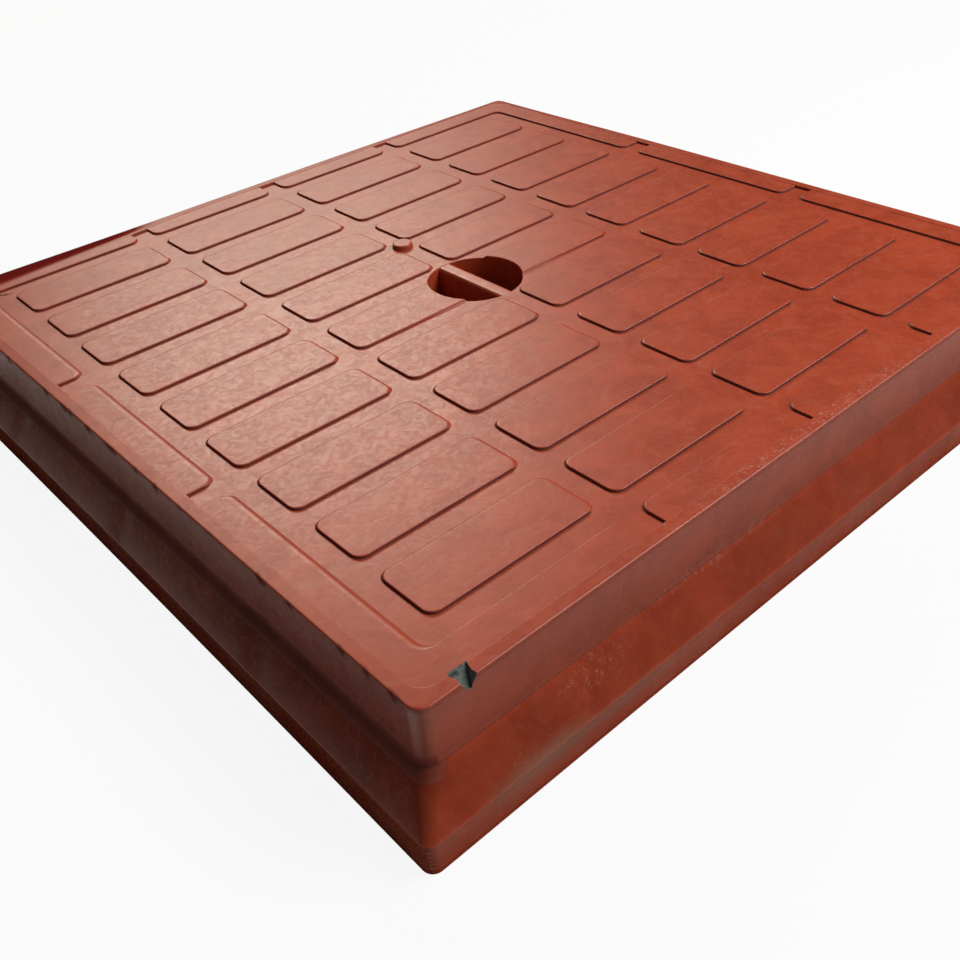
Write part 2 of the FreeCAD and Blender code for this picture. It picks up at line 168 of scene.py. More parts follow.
@dataclass(frozen=True)
class Outline:
    """A closed outline of level and upright lines in plan, anticlockwise, with rounded corners.

    Args:
        corners: The corners, with their radii and facets.
    """

    corners: tuple[Turn, ...]

    @classmethod
    def box(cls, low: Plan, high: Plan, radius: float, steps: int = 6) -> "Outline":
        """A rectangle with all corners alike.

        Args:
            low: Lowest x and y.
            high: Highest x and y.
            radius: Radius of the corners.
            steps: Facets in each corner.

        Returns:
            The outline.
        """
        plan = ((low[0], low[1]), (high[0], low[1]), (high[0], high[1]), (low[0], high[1]))
        return cls(tuple(Turn(x, y, radius, steps) for x, y in plan))

    def mirrored(self, way: Way) -> "Outline":
        """The outline mirrored across the middle of the cover.

        Args:
            way: The direction whose sign is turned.

        Returns:
            The mirrored outline, still anticlockwise.
        """
        flip_x = -1.0 if way is Way.ALONG else 1.0
        flip_y = -1.0 if way is Way.ACROSS else 1.0
        turned = (Turn(c.across * flip_x, c.up * flip_y, c.radius, c.steps) for c in reversed(self.corners))
        return Outline(tuple(turned))

    def neighbours(self, index: int) -> tuple[Turn, Turn]:
        """The corners before and after a corner."""
        return self.corners[index - 1], self.corners[(index + 1) % len(self.corners)]

    def ways(self, index: int) -> tuple[Vector, Vector]:
        """The directions in which the outline comes to a corner and leaves it.

        Args:
            index: The corner's number.

        Returns:
            The two directions.
        """
        corner = self.corners[index]
        before, after = self.neighbours(index)
        come = Vector((corner.across - before.across, corner.up - before.up)).normalized()
        leave = Vector((after.across - corner.across, after.up - corner.up)).normalized()
        return come, leave

    @staticmethod
    def lean_in(inward: Vector, lean: Plan) -> float:
        """How much further in a line moves that faces +X or +Y; inward is its direction to the inside."""
        return -min(inward.x * lean[0], inward.y * lean[1], 0.0)

    def ring(self, inset: float, lean: Plan = (0.0, 0.0)) -> list[Plan]:
        """Points round the outline after moving every line inwards.

        Args:
            inset: How far the lines move in; below 0 they move out.
            lean: How much further a line between rounded corners moves in where it faces +X, and where +Y.

        Returns:
            The points, as many for every inset.
        """
        points: list[Plan] = []
        for index, corner in enumerate(self.corners):
            here = Vector((corner.across, corner.up))
            before, after = self.neighbours(index)
            come, leave = self.ways(index)
            come_in, leave_in = Vector((-come.y, come.x)), Vector((-leave.y, leave.x))
            come_more = self.lean_in(come_in, lean) if before.radius and corner.radius else 0.0
            leave_more = self.lean_in(leave_in, lean) if after.radius and corner.radius else 0.0
            moved = here + come_in * (inset + come_more) + leave_in * (inset + leave_more)
            side = 1.0 if come.cross(leave) > 0 else -1.0
            radius = max(corner.radius - inset * side, 0.0) if corner.radius else 0.0
            first = moved - come * radius
            last = moved + leave * radius
            centre = first + come_in * radius * side
            for step in range(corner.steps + 1):
                angle = math.pi / 2 * step / corner.steps
                arm = (first - centre) * math.cos(angle) + (last - centre) * math.sin(angle)
                points.append(tuple(centre + arm))
        return points

    def shaded_sides(self) -> list[float]:
        """How far each point of a ring looks towards -X and -Y, where shade is painted.

        Returns:
            Shares from 0 to 1, in the order of the ring's points.
        """
        shares: list[float] = []
        for index, corner in enumerate(self.corners):
            come, leave = self.ways(index)
            come_look, leave_look = Vector((come.y, -come.x)), Vector((leave.y, -leave.x))
            fade = OUTER_SHADED_SIDE if come.cross(leave) > 0 else INNER_SHADED_SIDE
            for step in range(corner.steps + 1):
                angle = math.pi / 2 * step / corner.steps
                look = come_look * math.cos(angle) + leave_look * math.sin(angle)
                shares.append(smooth_step(*fade, -look.x - look.y))
        return shares


class MeshMaker:
    """Collects rings of points and faces, and makes one mesh object of them."""

    def __init__(self, name: str) -> None:
        """Starts an empty mesh.

        Args:
            name: The piece's name.
        """
        self.name = name
        self.points: list[Point] = []
        self.faces: list[tuple[int, ...]] = []
        self.marks: dict[Mark, list[float]] = {mark: [] for mark in Mark}

    def ring(self, points: Iterable[Point], wear: float = 0.0, crevice: float | Sequence[float] = 0.0,
             shade: float | Sequence[float] = 0.0) -> list[int]:
        """Adds points with their marks.

        Args:
            points: The points, in millimetres.
            wear: Their edge wear.
            crevice: Their share of painted shade and dirt, alike for all or one by one.
            shade: How far painted shade darkens them without dulling them, alike for all or one by one.

        Returns:
            The points' numbers.
        """
        start = len(self.points)
        self.points.extend(points)
        added = len(self.points) - start
        for mark, value in zip(Mark, (wear, crevice, shade)):
            self.marks[mark].extend([value] * added if isinstance(value, float) else value)
        return list(range(start, start + added))

    def bridge(self, low: Sequence[int], high: Sequence[int]) -> None:
        """Joins two closed rings of as many points by quads.

        Args:
            low: The first ring.
            high: The ring to its left, seen along the ring from outside.
        """
        count = len(low)
        for index in range(count):
            after = (index + 1) % count
            self.faces.append((low[index], low[after], high[after], high[index]))

    def cap(self, ring: Sequence[int]) -> None:
        """Closes a ring by one face."""
        self.faces.append(tuple(ring))

    def block(self, outline: Outline, section: Sequence[Spot], lean: Plan = (0.0, 0.0),
              far_darkening: float = 0.0) -> None:
        """Adds a closed block whose rings follow a section from its foot to its top.

        Args:
            outline: The block in plan.
            section: Inset and level of each ring, from the lowest up.
            lean: Widths of the soft shoulder on the sides that face +X, and +Y.
            far_darkening: Least share of the section's painted shade that those sides carry.
        """
        rings = []
        foot, top = section[0].up, section[-1].up
        shaded_sides = outline.shaded_sides()
        for spot in section:
            rise = (spot.up - foot) / (top - foot)
            eased = 1.0 - math.sqrt(max(1.0 - rise * rise, 0.0))
            plan = outline.ring(spot.across, (lean[0] * eased, lean[1] * eased))
            darkening = [spot.crevice * max(share, far_darkening) for share in shaded_sides]
            rings.append(self.ring([(x, y, spot.up) for x, y in plan], spot.wear, darkening))
        for low, high in zip(rings, rings[1:]):
            self.bridge(low, high)
        self.cap(rings[-1])
        self.cap(rings[0][::-1])

    def prism(self, plan: Sequence[Plan], place: Callable[[float, float, float], Point],
              half: float) -> None:
        """Adds a flat plate of any outline.

        Args:
            plan: The plate's outline, anticlockwise.
            place: Gives the point for a plan point and a distance through the plate.
            half: Half of the plate's thickness.
        """
        near = self.ring([place(a, b, -half) for a, b in plan])
        far = self.ring([place(a, b, half) for a, b in plan])
        self.bridge(near, far)
        self.cap(far)
        self.cap(near[::-1])

    def finish(self, finishes: Sequence["Finish"]) -> bpy.types.Object:
        """Makes the object, with its marks, its materials and soft shading.

        Args:
            finishes: The finishes in slot order.

        Returns:
            The object, in metres.
        """
        mesh = bpy.data.meshes.new(self.name)
        mesh.from_pydata([tuple(c * MM for c in point) for point in self.points], [], self.faces)
        for mark, values in self.marks.items():
            layer = mesh.attributes.new(mark.value, "FLOAT", "POINT")
            layer.data.foreach_set("value", values)
        for finish in finishes:
            mesh.materials.append(finish.material())
        mesh.validate()
        piece = bpy.data.objects.new(self.name, mesh)
        bpy.context.scene.collection.objects.link(piece)
        outward(piece)
        soften(piece.data)
        weigh = piece.modifiers.new("flat_faces_stay_flat", "WEIGHTED_NORMAL")
        weigh.keep_sharp = True
        weigh.weight = NORMAL_WEIGHT
        return piece


def outward(piece: bpy.types.Object) -> None:
    """Turns a closed mesh's faces to look out.

    Args:
        piece: The object with the mesh.
    """
    work = bmesh.new()
    work.from_mesh(piece.data)
    bmesh.ops.recalc_face_normals(work, faces=work.faces)
    work.to_mesh(piece.data)
    work.free()


def soften(mesh: bpy.types.Mesh) -> None:
    """Shades a mesh smoothly, apart from its sharp edges."""
    mesh.shade_smooth()
    mesh.set_sharp_from_angle(angle=math.radians(SHARP_TURN))


@dataclass(frozen=True)
class Clouds:
    """A layer of cloudy noise.

    Args:
        scale: Clouds per metre.
        detail: Finer layers.
        rough: Strength of the finer layers.
        swirl: How far the clouds are drawn into swirls.
    """

    scale: float
    detail: float = 4.0
    rough: float = 0.55
    swirl: float = 0.0


class Graph:
    """A short way to write a material's nodes."""

    def __init__(self, material: bpy.types.Material) -> None:
        """Takes over a material's node tree and empties it.

        Args:
            material: The material to write.
        """
        material.use_nodes = True
        self.tree = material.node_tree
        self.tree.nodes.clear()

    def node(self, kind: str, inputs: dict[str | int, object] | None = None,
             **settings: object) -> bpy.types.Node:
        """Adds a node.

        Args:
            kind: The node's type, without the ShaderNode prefix.
            inputs: Values or sockets by input name or number.
            settings: The node's own settings.

        Returns:
            The node.
        """
        made = self.tree.nodes.new(f"ShaderNode{kind}")
        for name, value in settings.items():
            setattr(made, name, value)
        for name, value in (inputs or {}).items():
            self.feed(made.inputs[name], value)
        return made

    def feed(self, socket: bpy.types.NodeSocket, value: object) -> None:
        """Sets a socket, or links another socket to it.

        Args:
            socket: The input.
            value: A value, or the output to link.
        """
        if isinstance(value, bpy.types.NodeSocket):
            self.tree.links.new(value, socket)
        elif isinstance(value, tuple) and len(value) == 3 and socket.type == "RGBA":
            socket.default_value = (*value, 1.0)
        else:
            socket.default_value = value

    def place(self, scale: Point = (1.0, 1.0, 1.0), turn: float = 0.0) -> bpy.types.NodeSocket:
        """The part's own coordinates in metres, stretched and turned about Z.

        Args:
            scale: Factors along the three axes.
            turn: Degrees about Z, before stretching.

        Returns:
            The coordinates.
        """
        source = self.node("TexCoord").outputs["Object"]
        turned = self.node("Mapping", {"Vector": source, "Rotation": (0.0, 0.0, math.radians(turn))})
        if scale == (1.0, 1.0, 1.0):
            return turned.outputs[0]
        return self.node("Mapping", {"Vector": turned.outputs[0], "Scale": scale}).outputs[0]

    def noise(self, place: bpy.types.NodeSocket, clouds: Clouds) -> bpy.types.NodeSocket:
        """Cloudy noise.

        Args:
            place: The coordinates.
            clouds: The layer of noise.

        Returns:
            The noise, about 0 to 1.
        """
        values = {
            "Vector": place,
            "Scale": clouds.scale,
            "Detail": clouds.detail,
            "Roughness": clouds.rough,
            "Distortion": clouds.swirl,
        }
        return self.node("TexNoise", values).outputs["Fac"]

    def span(self, value: object, low: float, high: float, out_low: float = 0.0,
             out_high: float = 1.0) -> bpy.types.NodeSocket:
        """Maps a range smoothly to another and holds the ends.

        Args:
            value: The value to map.
            low: Start of its range.
            high: End of its range.
            out_low: Result at the start.
            out_high: Result at the end.

        Returns:
            The mapped value.
        """
        values = {"Value": value, "From Min": low, "From Max": high, "To Min": out_low, "To Max": out_high}
        return self.node("MapRange", values, interpolation_type="SMOOTHSTEP").outputs[0]

    def math(self, operation: str, first: object, second: object = 0.0) -> bpy.types.NodeSocket:
        """One step of arithmetic.

        Args:
            operation: Blender's name of the operation.
            first: The first value.
            second: The second value.

        Returns:
            The result.
        """
        return self.node("Math", {0: first, 1: second}, operation=operation).outputs[0]

    def times(self, *values: object) -> bpy.types.NodeSocket:
        """The product of some values.

        Args:
            values: Numbers or sockets.

        Returns:
            The product.
        """
        product = values[0]
        for value in values[1:]:
            product = self.math("MULTIPLY", product, value)
        return product

    def mix(self, share: object, low: object, high: object) -> bpy.types.NodeSocket:
        """Mixes two colours.

        Args:
            share: Share of the second colour.
            low: The first colour.
            high: The second colour.

        Returns:
            The mixed colour.
        """
        made = self.node("Mix", data_type="RGBA", clamp_factor=True)
        self.feed(made.inputs[0], share)
        self.feed(made.inputs[6], low)
        self.feed(made.inputs[7], high)
        return made.outputs[2]

    def mark(self, mark: Mark) -> bpy.types.NodeSocket:
        """A mark that the mesh carries."""
        return self.node("Attribute", attribute_name=mark.value).outputs["Fac"]

    def level(self) -> bpy.types.NodeSocket:
        """The height above the base, in metres."""
        source = self.node("TexCoord").outputs["Object"]
        return self.node("SeparateXYZ", {0: source}).outputs["Z"]

    def threads(self, place: bpy.types.NodeSocket, scale: float, width: float,
                swirl: float = 1.0) -> bpy.types.NodeSocket:
        """Thin wandering lines, as light scratches leave them.

        Args:
            place: The coordinates.
            scale: Loops per metre.
            width: Width of the lines, as a share of the noise's range.
            swirl: How far the lines wander.

        Returns:
            1 on the lines and 0 between them.
        """
        clouds = self.noise(place, Clouds(scale, detail=1.0, swirl=swirl))
        off = self.math("ABSOLUTE", self.math("SUBTRACT", clouds, NOISE_MIDDLE))
        return self.span(off, 0.0, width, 1.0, 0.0)

    def patch(self, middle: Point, half: Point, ragged: bpy.types.NodeSocket) -> bpy.types.NodeSocket:
        """A patch of the surface with a broken edge.

        Args:
            middle: Its middle, in millimetres.
            half: Its half sizes along the three axes, in millimetres.
            ragged: Noise that breaks the edge up.

        Returns:
            1 in the middle and 0 outside.
        """
        source = self.node("TexCoord").outputs["Object"]
        near = self.node("VectorMath", {0: source, 1: tuple(c * MM for c in middle)}, operation="SUBTRACT")
        scaled = self.node("VectorMath", {0: near.outputs[0], 1: tuple(1.0 / (c * MM) for c in half)},
                           operation="MULTIPLY")
        reach = self.node("VectorMath", {0: scaled.outputs[0]}, operation="LENGTH").outputs["Value"]
        return self.span(self.math("ADD", reach, ragged), *PATCH_FADE, 1.0, 0.0)

    def bump(self, height: object, strength: float, depth: float,
             under: bpy.types.NodeSocket | None = None) -> bpy.types.NodeSocket:
        """Fine relief.

        Args:
            height: The relief, 0 to 1.
            strength: Share of the relief that shows.
            depth: Depth of the relief in millimetres.
            under: Relief that this one lies on.

        Returns:
            The bent normal.
        """
        values = {"Height": height, "Strength": strength, "Distance": depth * MM}
        if under is not None:
            values["Normal"] = under
        return self.node("Bump", values).outputs[0]

    def surface(self, **values: object) -> None:
        """Ends the graph in a principled surface.

        Args:
            values: Inputs of the surface, with _ for blanks.
        """
        inputs = {name.replace("_", " "): value for name, value in values.items()}
        shader = self.node("BsdfPrincipled", inputs)
        self.tree.links.new(shader.outputs[0], self.node("OutputMaterial").inputs[0])


class Finish:
    """A named finish that makes its material once."""

    name = "finish"

    def material(self) -> bpy.types.Material:
        """The finish's material, made at its first use.

        Returns:
            The material.
        """
        known = bpy.data.materials.get(self.name)
        if known is not None:
            return known
        made = bpy.data.materials.new(self.name)
        self.write(Graph(made))
        return made

    def write(self, graph: Graph) -> None:
        """Writes the finish's nodes."""
        raise NotImplementedError


@dataclass(frozen=True)
class Scuff:
    """A rubbed or stained patch of the moulding.

    Args:
        middle: Its middle, in millimetres.
        half: Its half sizes along the three axes, in millimetres.
        share: How strongly it shows.
    """

    middle: Point
    half: Point
    share: float


@dataclass(frozen=True)
class MouldedTerracotta(Finish):
    """The satin brick-red moulding, with mottling, smears, scuffs, stains, rubbed edges, a darker flare, and
    painted shade with some dirt.
    """

    name: str = "moulded_terracotta"
    deep: Colour = (0.350, 0.043, 0.014)
    plain: Colour = (0.425, 0.058, 0.020)
    pale: Colour = (0.47, 0.165, 0.110)
    dust: Colour = (0.50, 0.25, 0.18)
    shade_and_dirt_colour: Colour = (0.060, 0.011, 0.007)
    stain: Colour = (0.25, 0.125, 0.080)
    shade: Colour = (0.130, 0.009, 0.009)

    # Roughness and gloss
    satin: float = 0.39
    sleek: float = 0.24
    matt: float = 0.60
    dull: float = 0.85
    dull_from: Plan = (0.0, 0.4)
    ior: float = 1.5
    gloss: float = 0.5
    gloss_gone: float = 0.7

    # Mottling, smears and fine relief
    mottle: Clouds = Clouds(55.0, detail=4.0, swirl=0.8)
    mottle_span: Plan = (0.32, 0.68)
    mottle_relief: Plan = (0.20, 0.6)
    crumple: Clouds = Clouds(210.0, detail=3.0, rough=0.6, swirl=1.4)
    crumple_span: Plan = (0.52, 0.70)
    crumple_share: float = 0.08
    crumple_relief: Plan = (0.16, 0.22)
    crumple_sheen: Plan = (0.3, 0.75)
    sheen_play: Plan = (-0.03, 0.07)
    smear: Clouds = Clouds(30.0, detail=5.0, rough=0.6, swirl=1.6)
    smear_stretch: Point = (1.0, 2.4, 1.0)
    smear_turn: float = 28.0
    smear_span: Plan = (0.54, 0.74)
    smear_share: float = 0.12
    grain: Clouds = Clouds(1100.0, detail=2.0, rough=0.6)
    grain_relief: Plan = (0.15, 0.04)

    # Rubbed edges, painted shade with some dirt, and the darker flare, with levels in metres
    cover: Clouds = Clouds(34.0, detail=3.0, rough=0.6)
    worn_cover: Plan = (0.30, 0.62)
    worn_least: float = 0.35
    worn_share: float = 0.40
    shade_share: float = 0.95
    shade_and_dirt_share: float = 0.80
    deck_level: Plan = (0.0585, 0.0605)
    wall_relief: float = 0.3
    flare_rise: Plan = (0.014, 0.017)
    flare_fall: Plan = (0.031, 0.036)
    flare_cover: Plan = (0.3, 0.7)
    flare_darkening: Plan = (0.22, 0.38)

    # Pale threads, specks and scratches
    thread_stretch: Point = (1.0, 1.0, 0.6)
    thread_turn: float = 20.0
    thread_scale: float = 330.0
    thread_width: float = 0.035
    thread_swirl: float = 2.0
    thread_gaps: Clouds = Clouds(260.0, detail=2.0)
    thread_span: Plan = (0.45, 0.62)
    thread_cover: Plan = (0.52, 0.66)
    thread_share: float = 0.10
    speckle: Clouds = Clouds(620.0, detail=3.0, rough=0.65)
    speckle_span: Plan = (0.57, 0.66)
    speckle_share: float = 0.65
    scratch: Clouds = Clouds(1.0, detail=1.0)
    scratch_stretch: Point = (18.0, 2600.0, 900.0)
    scratch_turns: tuple[float, ...] = (24.0, 71.0, -33.0)
    scratch_span: Plan = (0.68, 0.76)
    scratch_cover: Plan = (0.46, 0.62)
    scratch_share: float = 0.22

    # Rubbed and stained places
    scuffs: tuple[Scuff, ...] = (
        Scuff((-60.0, -204.0, 36.0), (72.0, 12.0, 6.0), 0.75),
        Scuff((-132.0, -208.0, 28.0), (26.0, 10.0, 9.0), 0.45),
        Scuff((0.0, -201.5, 61.3), (120.0, 5.0, 3.0), 0.80),
        Scuff((-201.5, -50.0, 61.4), (5.0, 150.0, 3.0), 0.35),
    )
    stains: tuple[Scuff, ...] = (
        Scuff((-164.0, -214.0, 14.0), (32.0, 9.0, 8.0), 0.62),
        Scuff((-118.0, -215.0, 12.0), (40.0, 6.0, 5.0), 0.40),
    )

    def write(self, graph: Graph) -> None:
        """Writes the moulding's colour, gloss and fine relief.

        Args:
            graph: The material's nodes.
        """
        place = graph.place()
        clouds = graph.noise(place, self.mottle)
        crumple = graph.noise(place, self.crumple)
        smears = graph.noise(graph.place(self.smear_stretch, self.smear_turn), self.smear)
        grain = graph.noise(place, self.grain)
        patches = graph.noise(place, self.cover)
        body = graph.mix(graph.span(clouds, *self.mottle_span), self.deep, self.plain)
        smeared = graph.times(graph.span(smears, *self.smear_span), self.smear_share)
        body = graph.mix(smeared, body, self.pale)
        crumpled = graph.times(graph.span(crumple, *self.crumple_span), self.crumple_share)
        body = graph.mix(crumpled, body, self.pale)
        body = self.darken_and_stain(graph, body, patches)
        rubbed = self.rubbed(graph, patches)
        body = graph.mix(rubbed, body, self.dust)
        worn = graph.span(patches, *self.worn_cover, self.worn_least, 1.0)
        wear = graph.times(graph.mark(Mark.WEAR), worn, self.worn_share)
        body = graph.mix(wear, body, self.pale)
        # Painted shade in the curled rim's hollow: a dark red, whose gloss is taken away below
        shade = graph.mark(Mark.SHADE)
        body = graph.mix(graph.times(shade, self.shade_share), body, self.shade)
        # Painted shade with some dirt: a dark, dull colour at feet, in hollows and on the sides that face -X
        # and -Y
        crevice = graph.times(graph.mark(Mark.CREVICE), self.shade_and_dirt_share)
        body = graph.mix(crevice, body, self.shade_and_dirt_colour)
        deck = graph.span(graph.level(), *self.deck_level)
        sheen = graph.span(deck, 0.0, 1.0, self.sleek - self.satin, 0.0)
        uneven_sheen = (self.satin + play for play in self.sheen_play)
        rough = graph.math("ADD", graph.span(crumple, *self.crumple_sheen, *uneven_sheen), sheen)
        rough = graph.math("MAXIMUM", rough, graph.times(graph.span(rubbed, *self.dull_from), self.matt))
        rough = graph.math("MAXIMUM", rough, graph.times(graph.span(crevice, *self.dull_from), self.dull))
        uneven = graph.span(deck, 0.0, 1.0, self.wall_relief, 1.0)
        relief = graph.bump(graph.times(clouds, uneven), *self.mottle_relief)
        relief = graph.bump(graph.times(crumple, uneven), *self.crumple_relief, relief)
        relief = graph.bump(grain, *self.grain_relief, relief)
        gloss = graph.span(shade, 0.0, self.gloss_gone, self.gloss, 0.0)
        graph.surface(Base_Color=body, Roughness=rough, Normal=relief, IOR=self.ior,
                      Specular_IOR_Level=gloss)

    def darken_and_stain(self, graph: Graph, body: bpy.types.NodeSocket,
              patches: bpy.types.NodeSocket) -> bpy.types.NodeSocket:
        """Darkens the flare and stains the foot of the skirt.

        Args:
            graph: The material's nodes.
            body: The colour so far.
            patches: Uneven cover.

        Returns:
            The colour with the darker flare and the stains.
        """
        level = graph.level()
        below = graph.span(level, *self.flare_fall, 1.0, 0.0)
        flare = graph.times(graph.span(level, *self.flare_rise), below)
        uneven = graph.span(patches, *self.flare_cover, *self.flare_darkening)
        body = graph.mix(graph.times(flare, uneven), body, self.shade_and_dirt_colour)
        for stain in self.stains:
            cover = graph.patch(stain.middle, stain.half, patches)
            body = graph.mix(graph.times(cover, stain.share), body, self.stain)
        return body

    def rubbed(self, graph: Graph, patches: bpy.types.NodeSocket) -> bpy.types.NodeSocket:
        """Pale threads and scratches, thick in the scuffed patches and thin elsewhere.

        Args:
            graph: The material's nodes.
            patches: Uneven cover.

        Returns:
            The rubbed share of the surface.
        """
        place = graph.place(self.thread_stretch, self.thread_turn)
        threads = graph.threads(place, self.thread_scale, self.thread_width, self.thread_swirl)
        broken = graph.span(graph.noise(graph.place(), self.thread_gaps), *self.thread_span)
        threads = graph.times(threads, broken)
        total = graph.times(threads, graph.span(patches, *self.thread_cover), self.thread_share)
        speckle = graph.span(graph.noise(graph.place(), self.speckle), *self.speckle_span)
        speckle = graph.math("MAXIMUM", threads, graph.times(speckle, self.speckle_share))
        for scuff in self.scuffs:
            cover = graph.patch(scuff.middle, scuff.half, patches)
            total = graph.math("MAXIMUM", total, graph.times(cover, speckle, scuff.share))
        for turn in self.scratch_turns:
            lines = graph.noise(graph.place(self.scratch_stretch, turn), self.scratch)
            seen = graph.span(patches, *self.scratch_cover)
            fine = graph.times(graph.span(lines, *self.scratch_span), seen, self.scratch_share)
            total = graph.math("MAXIMUM", total, fine)
        return total


@dataclass(frozen=True)
class BrokenEdge(Finish):
    """The dull grey-green of the broken rim."""

    name: str = "broken_edge"
    dark: Colour = (0.075, 0.090, 0.080)
    light: Colour = (0.150, 0.170, 0.150)
    dull: float = 0.75
    ior: float = 1.5
    grain: Clouds = Clouds(700.0, detail=4.0, rough=0.7)
    grain_span: Plan = (0.35, 0.68)
    grain_relief: Plan = (0.6, 0.2)

    def write(self, graph: Graph) -> None:
        """Writes the torn, dull surface.

        Args:
            graph: The material's nodes.
        """
        grain = graph.noise(graph.place(), self.grain)
        colour = graph.mix(graph.span(grain, *self.grain_span), self.dark, self.light)
        relief = graph.bump(grain, *self.grain_relief)
        graph.surface(Base_Color=colour, Roughness=self.dull, Normal=relief, IOR=self.ior)


TERRACOTTA = MouldedTerracotta()
BROKEN = BrokenEdge()


@dataclass(frozen=True)
class Sizes:
    """The cover's main sizes, in millimetres."""

    height: float = 61.2
    floor: float = 60.0
    under: float = 52.0
    waist: float = 34.0
    lip: float = 15.0
    half: float = 204.5
    flare: float = 11.0
    wall: float = 8.0
    crest_half: float = 198.5
    crest: float = 61.5
    rim_edge: float = 61.25
    brick: Plan = (80.0, 30.0)
    channel: float = 10.0
    columns: int = 4
    rows: int = 9
    bar_rows: int = 3
    corner: float = 5.0
    hole: float = 24.5
    collar: float = 30.5
    collar_foot: float = 34.0

    @property
    def pitch(self) -> Plan:
        """Spacing of the bricks along and across."""
        return self.brick[0] + self.channel, self.brick[1] + self.channel

    @property
    def field(self) -> Plan:
        """Half sizes of the field of bricks."""
        pitch, channel = self.pitch, self.channel
        return (self.columns * pitch[0] - channel) / 2, (self.rows * pitch[1] - channel) / 2


SIZES = Sizes()


